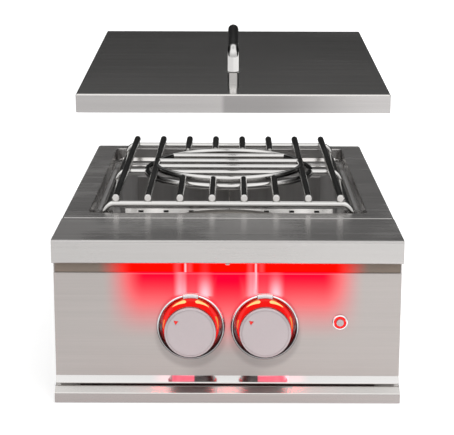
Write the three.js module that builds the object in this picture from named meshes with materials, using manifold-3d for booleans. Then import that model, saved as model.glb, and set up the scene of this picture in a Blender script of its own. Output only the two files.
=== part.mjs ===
// Built-in side burner for an outdoor kitchen counter: a stainless drop-in box with a deck,
// a bar grate with a lift-out ring, two ring burners, two lit knobs, a light button,
// a pull-out drip tray and a lift-off lid, shown lifted clear above the deck.
// Millimetres, +Z up, +X to the right of someone at the knobs, +Y towards the back.
// The origin is at floor level, under the middle of the whole object's box.
import * as THREE from "three";
import { mergeVertices } from "three/addons/utils/BufferGeometryUtils.js";
import Module from "manifold-3d";

const wasm = await Module();
wasm.setup();

// Driving dimensions
const unit_width = 432; // deck, left edge to right edge
const unit_depth = 645; // deck, front edge to back edge
const unit_height = 207.5; // floor to deck top
const sheet = 1.5; // stainless sheet of the body
const gap = 0.3; // left between pieces that touch
const weld = 0.6; // how deep welded rods run into each other
const bend = 2.2; // middle-line radius of a folded edge
const fold_steps = 3; // facets round one folded edge
const overrun = 4; // how far a cutting shape passes beyond what it cuts
const arc_segments = 3; // facets round a plan corner
const soft_share = 1 / 3; // of a small rounded edge, where its middle point lies
const rod_facets = 8;
const tube_facets = 12;
const round_facets = 40; // knobs, bezels, rings
const small_round_facets = 20;
const bore_facets = 16;
const wire_facets = 8;
const hex = 6; // sides of a nut

// Deck and the openings under it, from the deck's front edge
const half_width = unit_width / 2;
const half_sheet = sheet / 2;
const shelf_depth = 121; // front edge to the seam
const front_ledge = 29; // seam to the opening
const side_ledge = 32; // deck's side edge to the opening
const back_ledge = 28;
const opening_half_width = half_width - side_ledge;
const opening_front = shelf_depth + front_ledge;
const opening_back = unit_depth - back_ledge;
const opening_length = opening_back - opening_front;
const front_inset = 1; // panel and tray lip, short of the deck's side edges
const front_half_width = half_width - front_inset;

// Lid
const lid_side_overlap = 22; // beyond the opening
const lid_end_overlap = 12.5;
const lid_width = 2 * (opening_half_width + lid_side_overlap);
const lid_length = opening_length + 2 * lid_end_overlap;
const lid_height = 24.6;
const lid_hover_setback = 160; // lifted: the same edge
const lid_hover_rise = 156.2; // lifted: top front edge above the deck
const lid_hover_side = 6.3; // lifted: how far right of centre it is held
const lid_hover_tilt = THREE.MathUtils.degToRad(3.85); // lifted: nose held down

// Knobs
const knob_reach = 21; // face ahead of the deck's front edge
const knob_travel = 3; // pressed in to turn
const knob_level_share = 0.511; // its axis, down the panel's face
const bezel_radius = 43;
const bezel_spacing = 6; // left between the two bezels
const knob_spacing = 2 * bezel_radius + bezel_spacing;
const knob_pair_side = 0.5; // middle of the pair, right of the unit's middle

// Heights on the front: drip tray lip from the floor, panel from the deck top
const tray_top = 20.8; // top of the tray's slanted face
const tray_slit = 2.9; // seen between the panel and the drip tray
const panel_setback = 12; // face behind the deck's front edge
const panel_top = 43.6; // depth of its top edge
const panel_slant_foot = unit_height - tray_top - tray_slit - sheet;
const panel_slant_rise = 6.3;
const panel_foot = panel_slant_foot - panel_slant_rise; // where the slant begins
const knob_drop = panel_top + (panel_foot - panel_top) * knob_level_share;

// Burners, in the opening
const burner_place_share = 0.5355; // ring centres, front to back
const burner_setback = opening_front + opening_length * burner_place_share;
const outer_ring_outer = 108;
const venturi_radius = 11;
const burner_lift = 6.5; // a burner's foot above the venturi tubes
const tub_floor_clearance = 3; // under those tubes
const tub_floor = knob_drop + venturi_radius + tub_floor_clearance; // depth below the deck

// Places named from the deck's front edge and top
const hover_back = lid_hover_setback + lid_length * Math.cos(lid_hover_tilt)
  + lid_height * Math.sin(lid_hover_tilt);
const front_edge = -(hover_back - knob_reach) / 2;
const behind = (distance) => front_edge + distance;
const below = (distance) => unit_height - distance;
const sides = [-1, 1];
const side_names = { "-1": "left", "1": "right" };

// Materials, as in the photograph
const finish = (color, roughness, metalness, extra = {}) =>
  new THREE.MeshStandardMaterial({ color, roughness, metalness, ...extra });
const brushed_steel = finish(0xb9b5b1, 0.34, 1);
const plain_steel = finish(0x8d8b89, 0.45, 1);
const polished_steel = finish(0xd2d0ce, 0.12, 1);
const rod_steel = finish(0xc4c2c0, 0.16, 1);
const chrome = finish(0xe2e2e4, 0.06, 1);
const satin_silver = finish(0xc9c6c8, 0.3, 0.9);
const red_lens = finish(0xe01512, 0.25, 0, { emissive: 0xff1408, emissiveIntensity: 0.8 });
const red_mark = finish(0xe0201c, 0.4, 0);
const brass = finish(0xb59a55, 0.35, 1);
const ceramic = finish(0xe9e4da, 0.5, 0);

const unit = new THREE.Group();
unit.name = "side_burner";

// Solid helpers
function solid(geometry) {
  const bare = new THREE.BufferGeometry();
  const flat = geometry.index ? geometry.toNonIndexed() : geometry;
  bare.setAttribute("position", flat.getAttribute("position").clone());
  const merged = mergeVertices(bare, merge_tolerance);
  return new wasm.Manifold(new wasm.Mesh({
    numProp: 3,
    vertProperties: new Float32Array(merged.attributes.position.array),
    triVerts: new Uint32Array(merged.index.array),
  }));
}

function add(name, body, material) {
  const mesh = body.getMesh();
  const geometry = new THREE.BufferGeometry();
  geometry.setAttribute("position", new THREE.BufferAttribute(mesh.vertProperties, 3));
  geometry.setIndex(new THREE.BufferAttribute(mesh.triVerts, 1));
  geometry.computeVertexNormals();
  const part = new THREE.Mesh(geometry, material);
  part.name = name;
  unit.add(part);
  return part;
}

const joined = (bodies) => bodies.reduce((whole, next) => whole.add(next));
const cut = (body, tools) => tools.reduce((rest, tool) => rest.subtract(tool), body);

// Turns geometry drawn with its extrusion along Z so that the extrusion runs along X or Y.
const along_x = new THREE.Matrix4().set(0, 0, 1, 0, 1, 0, 0, 0, 0, 1, 0, 0, 0, 0, 0, 1);
const along_y = new THREE.Matrix4().set(1, 0, 0, 0, 0, 0, -1, 0, 0, 1, 0, 0, 0, 0, 0, 1);
const merge_tolerance = 1e-4;

function extruded(shape, depth) {
  return new THREE.ExtrudeGeometry(shape, {
    depth, bevelEnabled: false, curveSegments: arc_segments,
  });
}
// A plan outline (x, y) raised from z0 to z1.
function plan(shape, z0, z1) {
  return solid(extruded(shape, z1 - z0).translate(0, 0, z0));
}
// A side outline (y, z) run from x0 to x1.
function side_profile(shape, x0, x1) {
  return solid(extruded(shape, x1 - x0).applyMatrix4(along_x).translate(x0, 0, 0));
}
// A front outline (x, z) run from y0 to y1.
function front_profile(shape, y0, y1) {
  return solid(extruded(shape, y1 - y0).applyMatrix4(along_y).translate(0, y1, 0));
}
function box(x0, x1, y0, y1, z0, z1) {
  const size = new THREE.BoxGeometry(x1 - x0, y1 - y0, z1 - z0);
  return solid(size.translate((x0 + x1) / 2, (y0 + y1) / 2, (z0 + z1) / 2));
}
function rod_y(x, z, radius, y0, y1, facets = tube_facets) {
  return solid(new THREE.CylinderGeometry(radius, radius, y1 - y0, facets)
    .translate(x, (y0 + y1) / 2, z));
}
function rod_z(x, y, radius, z0, z1, facets = tube_facets) {
  return solid(new THREE.CylinderGeometry(radius, radius, z1 - z0, facets)
    .rotateX(Math.PI / 2).translate(x, y, (z0 + z1) / 2));
}
function rod_x(y, z, radius, x0, x1, facets = tube_facets) {
  return solid(new THREE.CylinderGeometry(radius, radius, x1 - x0, facets)
    .rotateZ(Math.PI / 2).translate((x0 + x1) / 2, y, z));
}
// A closed (radius, height) profile turned about a line along Z, or about one along Y.
function turned_z(profile, x, y, facets) {
  const points = [...profile, profile[0]].map(([r, h]) => new THREE.Vector2(r, h));
  return solid(new THREE.LatheGeometry(points, facets).rotateX(Math.PI / 2).translate(x, y, 0));
}
function turned_y(profile, x, z, facets) {
  const points = [...profile, profile[0]].map(([r, h]) => new THREE.Vector2(r, h));
  return solid(new THREE.LatheGeometry(points, facets).translate(x, 0, z));
}
function ring_rod(x, y, z, ring_radius, rod_radius, facets, segments) {
  return solid(new THREE.TorusGeometry(ring_radius, rod_radius, facets, segments)
    .translate(x, y, z));
}
function rounded_rect(x0, x1, y0, y1, radius) {
  const shape = new THREE.Shape();
  shape.moveTo(x0 + radius, y0);
  shape.lineTo(x1 - radius, y0);
  shape.absarc(x1 - radius, y0 + radius, radius, -Math.PI / 2, 0);
  shape.lineTo(x1, y1 - radius);
  shape.absarc(x1 - radius, y1 - radius, radius, 0, Math.PI / 2);
  shape.lineTo(x0 + radius, y1);
  shape.absarc(x0 + radius, y1 - radius, radius, Math.PI / 2, Math.PI);
  shape.lineTo(x0, y0 + radius);
  shape.absarc(x0 + radius, y0 + radius, radius, Math.PI, Math.PI * 1.5);
  return shape;
}
function outline(points) {
  return new THREE.Shape(points.map(([a, b]) => new THREE.Vector2(a, b)));
}
// Points and directions along a folded sheet's middle line, with every corner rounded.
function folded_line(points, radius) {
  const corners = points.map(([a, b]) => new THREE.Vector2(a, b));
  const stations = [];
  const station = (at, direction) => stations.push({ at, direction: direction.clone() });
  corners.forEach((corner, i) => {
    const arriving = i > 0 && corner.clone().sub(corners[i - 1]).normalize();
    const leaving = i < corners.length - 1 && corners[i + 1].clone().sub(corner).normalize();
    if (!arriving || !leaving) {
      station(corner, arriving || leaving);
      return;
    }
    const turn = Math.atan2(arriving.cross(leaving), arriving.dot(leaving));
    const reach = radius * Math.tan(Math.abs(turn) / 2);
    const start = corner.clone().addScaledVector(arriving, -reach);
    const inward = new THREE.Vector2(-arriving.y, arriving.x).multiplyScalar(Math.sign(turn));
    const centre = start.clone().addScaledVector(inward, radius);
    for (let k = 0; k <= fold_steps; k += 1) {
      const angle = (turn * k) / fold_steps;
      station(start.clone().rotateAround(centre, angle),
        arriving.clone().rotateAround(new THREE.Vector2(), angle));
    }
  });
  return stations;
}
// A folded sheet's section: that line given a thickness.
function folded(points, thickness = sheet, radius = bend) {
  const stations = folded_line(points, radius);
  const offset = (side) => stations.map(({ at, direction }) =>
    at.clone().add(new THREE.Vector2(-direction.y, direction.x)
      .multiplyScalar((side * thickness) / 2)));
  return new THREE.Shape([...offset(1), ...offset(-1).reverse()]);
}
// Plates that close both ends of a folded sheet run from -half to half: they fill the
// outline of its middle line, taken round by the closing points.
function end_plates(points, half, radius = bend, closing = []) {
  const line = folded_line(points, radius).map(({ at }) => [at.x, at.y]);
  const shape = outline([...line, ...closing]);
  return [side_profile(shape, -half, -half + sheet), side_profile(shape, half - sheet, half)];
}
// A round bar along a path of straight runs joined by bends.
function bar(points, radius, bend_radius, facets, bend_steps = 3) {
  const corners = points.map((p) => new THREE.Vector3(...p));
  const path = [corners[0]];
  for (let i = 1; i < corners.length - 1; i += 1) {
    const back = corners[i - 1].clone().sub(corners[i]).normalize();
    const on = corners[i + 1].clone().sub(corners[i]).normalize();
    const half = back.angleTo(on) / 2;
    const reach = bend_radius / Math.tan(half);
    const middle = back.clone().add(on).normalize();
    const centre = corners[i].clone().addScaledVector(middle, bend_radius / Math.sin(half));
    const spin = back.clone().cross(on).normalize();
    const arm = corners[i].clone().addScaledVector(back, reach).sub(centre);
    for (let k = 0; k <= bend_steps; k += 1) {
      const angle = (-(Math.PI - 2 * half) * k) / bend_steps;
      path.push(arm.clone().applyAxisAngle(spin, angle).add(centre));
    }
  }
  path.push(corners[corners.length - 1]);
  return solid(swept(path, radius, facets));
}
// Extrudes a circle along the given stations, one step for each.
class Stations extends THREE.Curve {
  constructor(points) {
    super();
    this.points = points;
  }
  getPoint(t) {
    const place = t * (this.points.length - 1);
    const low = Math.min(Math.floor(place), this.points.length - 2);
    return this.points[low].clone().lerp(this.points[low + 1], place - low);
  }
  getPointAt(t) {
    return this.getPoint(t);
  }
  getTangentAt(t) {
    const last = this.points.length - 1;
    const at = Math.round(t * last);
    const before = this.points[Math.max(at - 1, 0)];
    const after = this.points[Math.min(at + 1, last)];
    const here = this.points[at];
    const arriving = at > 0 ? here.clone().sub(before).normalize() : new THREE.Vector3();
    const leaving = at < last ? after.clone().sub(here).normalize() : new THREE.Vector3();
    return arriving.add(leaving).normalize();
  }
}
function swept(points, radius, facets) {
  const section = new THREE.Shape(Array.from({ length: facets }, (_, i) => {
    const angle = (2 * Math.PI * (i + 0.5)) / facets;
    return new THREE.Vector2(Math.cos(angle), Math.sin(angle)).multiplyScalar(radius);
  }));
  return new THREE.ExtrudeGeometry(section, {
    steps: points.length - 1, extrudePath: new Stations(points),
  });
}

// Front shelf: the deep front lip of the deck
const shelf_drop = 29.5; // front face height
const shelf_return = 9; // fold under the front face
const shelf_back_fold = 5; // fold down at the seam
const shelf_end_depth = 40; // closed ends, front to back

const light_screw_bore = 1.9;
const light_screw_setback = 6;
const light_screw_shank = 1.5;
const light_screw_head = 3;
const light_screw_head_height = 1.8;
const light_screw_length = 6.2; // under its head

function front_shelf() {
  const line = [
    [behind(shelf_depth - half_sheet), below(shelf_back_fold)],
    [behind(shelf_depth - half_sheet), below(half_sheet)],
    [behind(half_sheet), below(half_sheet)],
    [behind(half_sheet), below(shelf_drop - half_sheet)],
    [behind(shelf_return), below(shelf_drop - half_sheet)],
  ];
  const ends = end_plates(line, half_width, bend,
    [[behind(shelf_end_depth), below(shelf_drop - half_sheet)]]);
  const screw_hole = rod_z(0, behind(light_screw_setback), light_screw_bore,
    below(shelf_drop + overrun), below(shelf_drop - sheet - gap));
  add("front_shelf", joined([side_profile(folded(line), -half_width, half_width), ...ends])
    .subtract(screw_hole), brushed_steel);
}

// Deck frame: the flange behind the seam, with the burner opening
const opening_corner = 6;
const opening_wall = 21; // depth of the turned-down wall
const opening_hem = 4; // rolled hem at the foot of that wall
const deck_corner = 5;
const deck_rim = 6; // turned-down outer edge, which stands on the counter

function deck_frame() {
  const front = behind(shelf_depth + gap);
  const back = behind(unit_depth);
  const outer = rounded_rect(-half_width, half_width, front, back, deck_corner);
  const opening = (grow) => rounded_rect(-opening_half_width - grow, opening_half_width + grow,
    behind(opening_front) - grow, behind(opening_back) + grow, opening_corner + grow);
  const ring = (outside, inside, top, bottom) => {
    const shape = outside;
    shape.holes = [inside];
    return plan(shape, below(bottom), below(top));
  };
  const rim_inner = rounded_rect(-half_width + sheet, half_width - sheet,
    front + sheet, back - sheet, deck_corner - sheet);
  const rim_outer = rounded_rect(-half_width, half_width, front, back, deck_corner);
  add("deck_frame", joined([
    ring(outer, opening(0), 0, sheet),
    ring(rim_outer, rim_inner, half_sheet, deck_rim),
    ring(opening(sheet), opening(0), half_sheet, opening_wall),
    ring(opening(sheet), opening(-sheet), opening_wall - opening_hem, opening_wall),
  ]), brushed_steel);
}

// Housing: the box that hangs in the counter's cut-out
const housing_spread = 8; // its walls outside the opening's, left and right
const housing_back_spread = 7; // and at the back
const housing_recess = 29; // its front flanges behind the panel's face
const housing_half_width = opening_half_width + housing_spread;
const housing_front = panel_setback + housing_recess;
const housing_back = opening_back + housing_back_spread;
const flange_inset = 2; // its front flanges inside the panel's ends
const housing_flange_reach = front_half_width - flange_inset;
const manifold_inset = 34; // gas pipe and inlet, inside the opening's right wall
const manifold_side = opening_half_width - manifold_inset;
const manifold_drop = 26.2; // pipe axis below the knob axis
const manifold_z = below(knob_drop + manifold_drop);
const inlet_radius = 9;
const housing_vents = 5; // in each side wall
const housing_vent_length = 46;
const housing_vent_height = 7;
const housing_vent_level = 120;

function housing_shell() {
  const wall = housing_half_width - half_sheet;
  const plan_line = [
    [-housing_flange_reach, behind(housing_front)],
    [-wall, behind(housing_front)],
    [-wall, behind(housing_back - half_sheet)],
    [wall, behind(housing_back - half_sheet)],
    [wall, behind(housing_front)],
    [housing_flange_reach, behind(housing_front)],
  ];
  const shell = plan(folded(plan_line), gap, below(deck_rim + gap));
  const inlet = rod_y(manifold_side, manifold_z, inlet_radius + gap,
    behind(housing_back - sheet - overrun), behind(housing_back + overrun));
  const pitch = (housing_back - housing_front) / (housing_vents + 1);
  const vents = Array.from({ length: housing_vents }, (_, i) => {
    const middle = behind(housing_front + pitch * (i + 1));
    return box(-half_width, half_width, middle - housing_vent_length / 2,
      middle + housing_vent_length / 2, housing_vent_level,
      housing_vent_level + housing_vent_height);
  });
  add("housing_shell", cut(shell, [inlet, ...vents]), plain_steel);
}

const floor_lip = 12; // turned-up sides of the floor
function housing_floor() {
  const wall = housing_half_width - sheet - gap - half_sheet;
  const section = folded([
    [-wall, floor_lip], [-wall, half_sheet], [wall, half_sheet], [wall, floor_lip],
  ]);
  add("housing_floor", front_profile(section, behind(housing_front + sheet),
    behind(housing_back - sheet - gap - bend)), plain_steel);
}

// Burner tub, hung under the opening
const tub_side_inset = 6; // its walls inside the opening's, left and right
const tub_end_inset = 2; // and front and back
const tub_half_width = opening_half_width - tub_side_inset; // inside
const tub_front = opening_front + tub_end_inset;
const tub_back = opening_back - tub_end_inset;
const tub_corner = 8;
const tub_flange = tub_side_inset - sheet; // reaches under the hem
const tub_drain = 62; // radius of the hole in its floor
const slot_pitch = 41.4;
const slot_width = 8;
const slot_height = 4;
const slot_rise = 20.5; // above the tub's floor
const slot_drop = tub_floor - slot_rise;
const slots_each_side = 4;
const bead_clearance = 5.5; // below the opening's wall
const bead_drop = opening_wall + bead_clearance;
const bead_radius = 2.2;
const bead_inset = 12; // its ends stop short of the tub's corners

const venturi_clearance = 1.2;
const venturi_hole = venturi_radius + venturi_clearance;
const knob_places = { left: knob_pair_side - knob_spacing / 2,
  right: knob_pair_side + knob_spacing / 2 };
const knob_z = below(knob_drop);

function burner_tub() {
  const top = below(opening_wall + gap);
  const rect = (grow) => rounded_rect(-tub_half_width - grow, tub_half_width + grow,
    behind(tub_front) - grow, behind(tub_back) + grow, tub_corner + grow);
  const body = plan(rect(sheet), below(tub_floor + sheet), top);
  const flange = plan(rect(sheet + tub_flange), top - sheet, top);
  const hollow = plan(rect(0), below(tub_floor), top + overrun);
  const drain = rod_z(0, behind(burner_setback), tub_drain, below(tub_floor + sheet + overrun),
    below(tub_floor - overrun), round_facets);
  const venturis = Object.values(knob_places).map((x) => rod_y(x, knob_z, venturi_hole,
    behind(tub_front - sheet - overrun), behind(tub_front + overrun), small_round_facets));
  const slots = sides.flatMap((side) => Array.from({ length: slots_each_side }, (_, i) => {
    const x = side * slot_pitch * (i + 0.5);
    return box(x - slot_width / 2, x + slot_width / 2, behind(tub_back - overrun),
      behind(tub_back + sheet + overrun), below(slot_drop) - slot_height / 2,
      below(slot_drop) + slot_height / 2);
  }));
  const bead = rod_x(behind(tub_back), below(bead_drop), bead_radius,
    -tub_half_width + bead_inset, tub_half_width - bead_inset, 8);
  add("burner_tub", cut(joined([body, flange]), [hollow]).add(bead)
    .subtract(joined([drain, ...venturis, ...slots])), plain_steel);
}

// Rear deflector: the plain plate seen behind the burners.
const deflector_half_width = 150;
const deflector_below_bead = 16.5;
const deflector_slot_gap = 3.5;
const deflector_top = bead_drop + deflector_below_bead;
const deflector_bottom = slot_drop - deflector_slot_gap;
const deflector_standoff = 8; // ahead of the tub's back wall
function rear_deflector() {
  const section = folded([
    [behind(tub_back - gap), below(deflector_top + half_sheet)],
    [behind(tub_back - deflector_standoff), below(deflector_top + half_sheet)],
    [behind(tub_back - deflector_standoff), below(deflector_bottom)],
  ]);
  add("rear_deflector", side_profile(section, -deflector_half_width, deflector_half_width),
    plain_steel);
}

// Drip tray: full-width front lip and a pan that slides over the floor
const tray_reach = 8; // lip ahead of the deck's front edge
const tray_lift = 0.5; // lip above the ground
const tray_face = 12.9; // top of the upright face
const tray_slant_back = 1; // where the slant ends, behind the deck's front edge
const pan_side_gap = 4.5;
const pan_back_gap = 24;
const pan_half_width = housing_half_width - sheet - pan_side_gap;
const pan_back = housing_back - pan_back_gap;
const pan_wall = 15;
const pan_front = 12;
const tray_foot = 4; // fold under the face
const tray_bend = 1.5;

function drip_tray() {
  const pan_bottom = sheet + gap;
  const lip = [
    [behind(tray_foot), tray_lift + half_sheet],
    [behind(half_sheet - tray_reach), tray_lift + half_sheet],
    [behind(half_sheet - tray_reach), tray_face],
    [behind(tray_slant_back), tray_top - half_sheet],
    [behind(pan_front - half_sheet), tray_top - half_sheet],
    [behind(pan_front - half_sheet), pan_bottom],
  ];
  const floor = box(-pan_half_width, pan_half_width, behind(pan_front - sheet),
    behind(pan_back), pan_bottom, pan_bottom + sheet);
  const walls = sides.map((side) => box(
    Math.min(side * pan_half_width, side * (pan_half_width - sheet)),
    Math.max(side * pan_half_width, side * (pan_half_width - sheet)),
    behind(pan_front - half_sheet), behind(pan_back), pan_bottom, pan_bottom + pan_wall));
  const back = box(-pan_half_width, pan_half_width, behind(pan_back - sheet),
    behind(pan_back), pan_bottom, pan_bottom + pan_wall);
  const front = side_profile(folded(lip, sheet, tray_bend), -front_half_width,
    front_half_width);
  const lip_ends = end_plates(lip, front_half_width, tray_bend);
  add("drip_tray", joined([front, ...lip_ends, floor, ...walls, back]), brushed_steel);
}

// Control panel
const panel_slant_setback = 0.4; // corner of the folded foot, before its rounding
const panel_bend = 0.8;
const panel_return = 24;
const stem_hole = 6;
const switch_side = 140;
const switch_drop = 107;
const switch_barrel = 8;

function control_panel() {
  const face = panel_setback + half_sheet;
  const face_line = [
    [behind(face), below(panel_foot)],
    [behind(panel_slant_setback + half_sheet), below(panel_slant_foot)],
    [behind(panel_slant_setback + panel_return), below(panel_slant_foot + half_sheet)],
  ];
  const section = folded([
    [behind(panel_setback + panel_return), below(panel_top + half_sheet)],
    [behind(face), below(panel_top + half_sheet)],
    ...face_line,
  ], sheet, panel_bend);
  const flange_front = behind(housing_front - gap - half_sheet);
  const ends = end_plates([[behind(face), below(shelf_drop + gap)], ...face_line],
    front_half_width, panel_bend, [
      [flange_front, below(panel_slant_foot + half_sheet)],
      [flange_front, below(shelf_drop + gap)],
    ]);
  const holes = Object.values(knob_places).map((x) =>
    rod_y(x, knob_z, stem_hole, behind(panel_setback - overrun),
      behind(panel_setback + sheet + overrun), bore_facets));
  const switch_hole = rod_y(switch_side, below(switch_drop), switch_barrel + gap,
    behind(panel_setback - overrun), behind(panel_setback + sheet + overrun),
    small_round_facets);
  add("control_panel", cut(joined([side_profile(section, -front_half_width, front_half_width),
    ...ends]), [...holes, switch_hole]), brushed_steel);
}

// Light bar under the shelf
const lens_recess = 0.6; // behind the panel's face
const lens_reveal = 1.5; // below the shelf
const lens_foot_gap = 0.4; // above the panel
const lens_setback = panel_setback + lens_recess;
const lens_top = shelf_drop + lens_reveal;
const lens_bottom = panel_top - lens_foot_gap;
const lens_depth = 3;
const bar_depth = 14;
const bar_inset = 2; // short of the panel's ends
const bar_ledge = sheet + gap + half_sheet; // its top fold lies on the shelf's return

function light_bar() {
  const half = front_half_width - bar_inset;
  const lens_back = lens_setback + lens_depth;
  add("light_lens", box(-half, half, behind(lens_setback), behind(lens_back),
    below(lens_bottom), below(lens_top)), red_lens);
  const housing = folded([
    [behind(lens_back + bar_depth), below(lens_bottom - half_sheet)],
    [behind(lens_back + gap + half_sheet), below(lens_bottom - half_sheet)],
    [behind(lens_back + gap + half_sheet), below(shelf_drop - bar_ledge)],
    [behind(light_screw_setback), below(shelf_drop - bar_ledge)],
  ]);
  const bore = rod_z(0, behind(light_screw_setback), light_screw_bore,
    below(shelf_drop), below(shelf_drop - bar_ledge - overrun));
  const reach = rod_z(0, behind(light_screw_setback), light_screw_head,
    below(shelf_drop - bar_ledge) - half_sheet, below(shelf_drop - bar_ledge) + half_sheet);
  add("light_bar", side_profile(housing, -half, half).add(reach).subtract(bore), plain_steel);
  add("light_bar_screw", joined([
    rod_z(0, behind(light_screw_setback), light_screw_head,
      below(shelf_drop + gap + light_screw_head_height), below(shelf_drop + gap)),
    rod_z(0, behind(light_screw_setback), light_screw_shank,
      below(shelf_drop + gap + light_screw_head_height), below(shelf_drop + gap)
      + light_screw_length, rod_facets),
  ]), polished_steel);
}

// Knobs, bezels, dials and valves
const bezel_inner = 35.5;
const bezel_crest = 40.4;
const bezel_rise = 9.5;
const bezel_wall = 5.4; // its inner wall, up to the slope
const bezel_lip = 2.6; // its outer wall, and the dial's edge
const bezel_shoulder = 1.4;
const bezel_notch_angle = THREE.MathUtils.degToRad(14);
const bezel_notch_depth = 5;
const tab_inner = 36.6;
const tab_outer = 42.4;
const dial_bore = 9;
const dial_thickness = 3.4;
const knob_radius = 31.8;
const knob_rim = 1.4;
const knob_disc = 7; // thickness of the face disc
const knob_waist = 29.6; // body behind the disc
const knob_tail = 24.5; // body at the dial
const knob_body_gap = 4.6; // left for pressing in
const stem_radius = 4;
const stem_in_knob = 12; // short of the face
const valve_half_width = 13;
const valve_half_height = 15;
const valve_standoff = 12; // behind the panel's face
const valve_length = 36;
const valve_front = panel_setback + valve_standoff;
const valve_back = valve_front + valve_length;
const valve_boss = 5;
const plug_radius = 7;
const plug_recess = 4; // in the valve's front
const plug_length = 20;
const plug_front = valve_front + plug_recess;
const plug_back = plug_front + plug_length;
const stem_grip = 8; // length of stem in the plug
const stem_in_plug = plug_front + stem_grip;
const plug_bore_spare = 2;
const plug_bore_end = stem_in_plug + knob_travel + plug_bore_spare;
const orifice_radius = 4.5;
const orifice_length = 18;
const orifice_end = valve_back + orifice_length;
const manifold_radius = 7;
const manifold_setback = (valve_front + valve_back) / 2 + gap + sheet;
const pointer_out = 22; // middle of the red mark, out from the knob's axis
const pointer_turn = THREE.MathUtils.degToRad(52); // knobs stand this far past "off"
const pointer_half = 3.1;
const pointer_depth = 0.8;

function bezel_ring() {
  const back = panel_setback - gap;
  const crest = panel_setback - bezel_rise;
  return [
    [bezel_inner, behind(back)],
    [bezel_inner, behind(back - bezel_wall)],
    [bezel_crest - (bezel_crest - bezel_inner) * soft_share, behind(crest + sheet)],
    [bezel_crest, behind(crest)],
    [bezel_radius - sheet, behind(crest + sheet)],
    [bezel_radius - half_sheet, behind(back - bezel_lip - bezel_shoulder)],
    [bezel_radius, behind(back - bezel_lip)],
    [bezel_radius, behind(back)],
  ];
}
// A wedge that opens upwards from a knob's axis, between two distances from the front edge.
function top_wedge(x, angle, y0, y1) {
  const reach = bezel_radius + overrun;
  const half = reach * Math.tan(angle);
  return front_profile(outline([[x, knob_z], [x + half, knob_z + reach],
    [x - half, knob_z + reach]]), behind(y0), behind(y1));
}
function knob_set(side, x) {
  const back = panel_setback - gap;
  const crest = panel_setback - bezel_rise;
  const notch_floor = crest + bezel_notch_depth;
  const ring = turned_y(bezel_ring(), x, knob_z, round_facets);
  add(`${side}_bezel`, ring.subtract(top_wedge(x, bezel_notch_angle, crest - sheet,
    notch_floor)), chrome);
  const tab = turned_y([[tab_inner, behind(notch_floor - gap)], [tab_inner, behind(crest + sheet)],
    [tab_outer - half_sheet, behind(crest + sheet)],
    [tab_outer, behind(crest + sheet + half_sheet)],
    [tab_outer, behind(notch_floor - gap)]], x, knob_z, round_facets);
  const tab_angle = bezel_notch_angle - gap / tab_inner;
  add(`${side}_bezel_tab`, tab.intersect(top_wedge(x, tab_angle, crest, panel_setback)),
    satin_silver);
  add(`${side}_dial`, turned_y([[dial_bore, behind(back)],
    [dial_bore, behind(back - dial_thickness)],
    [bezel_inner - gap - bezel_lip, behind(back - dial_thickness)],
    [bezel_inner - gap, behind(back - bezel_lip)], [bezel_inner - gap, behind(back)]],
  x, knob_z, round_facets), red_lens);

  const face = -knob_reach;
  const tail = panel_setback - gap - dial_thickness - knob_body_gap;
  const body = turned_y([[0, behind(face)], [knob_radius - knob_rim, behind(face)],
    [knob_radius - knob_rim * soft_share, behind(face + knob_rim * soft_share)],
    [knob_radius, behind(face + knob_rim)], [knob_radius, behind(face + knob_disc)],
    [knob_waist, behind(face + knob_disc + knob_rim)], [knob_tail, behind(tail)],
    [0, behind(tail)]], x, knob_z, round_facets);
  const stem_start = face + stem_in_knob;
  const bore = rod_y(x, knob_z, stem_radius + gap, behind(stem_start - gap),
    behind(tail + overrun), bore_facets);
  const mark_x = x - pointer_out * Math.sin(pointer_turn);
  const mark_z = knob_z + pointer_out * Math.cos(pointer_turn);
  const mark = (half, y0, y1) => {
    const corner = (turn) => [mark_x - half * Math.sin(turn), mark_z + half * Math.cos(turn)];
    const third = (2 * Math.PI) / 3;
    const apex = pointer_turn; // the mark points out from the axis
    return front_profile(outline([corner(apex), corner(apex - third),
      corner(apex + third)].reverse()), behind(y0), behind(y1));
  };
  add(`${side}_knob`, cut(body, [bore, mark(pointer_half + gap / Math.cos(Math.PI / 3),
    face - overrun, face + pointer_depth + gap)]), satin_silver);
  add(`${side}_knob_mark`, mark(pointer_half, face, face + pointer_depth), red_mark);
  add(`${side}_stem`, rod_y(x, knob_z, stem_radius, behind(stem_start),
    behind(stem_in_plug), bore_facets), plain_steel);

  const plug_bore = rod_y(x, knob_z, stem_radius + gap, behind(plug_front - overrun),
    behind(plug_bore_end), bore_facets);
  add(`${side}_plug`, rod_y(x, knob_z, plug_radius, behind(plug_front), behind(plug_back),
    bore_facets).subtract(plug_bore), brass);
  const pipe_top = manifold_z + manifold_radius;
  const block = box(x - valve_half_width, x + valve_half_width, behind(valve_front),
    behind(valve_back), knob_z - valve_half_height, knob_z + valve_half_height);
  const plug_seat = rod_y(x, knob_z, plug_radius + gap, behind(valve_front - overrun),
    behind(plug_back + gap), bore_facets);
  const foot = rod_z(x, behind(manifold_setback), valve_boss, pipe_top + gap,
    knob_z - valve_half_height + sheet);
  const orifice = rod_y(x, knob_z, orifice_radius, behind(valve_back - sheet),
    behind(orifice_end));
  add(`${side}_valve`, joined([block, foot, orifice]).subtract(plug_seat), brass);
}

// Gas manifold and inlet
const manifold_left = 30; // past the left valve
const manifold_bend = 20;
const manifold_end_gap = 24; // ahead of the housing's back
const manifold_end = housing_back - manifold_end_gap;
const inlet_reach = 19; // out of the housing's back
const inlet_tail = housing_back + inlet_reach;
const inlet_hex = 13; // out to its corners
const inlet_hex_length = 8;
const inlet_flow_bore = 5.5;
const inlet_flow_depth = 12;

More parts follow.
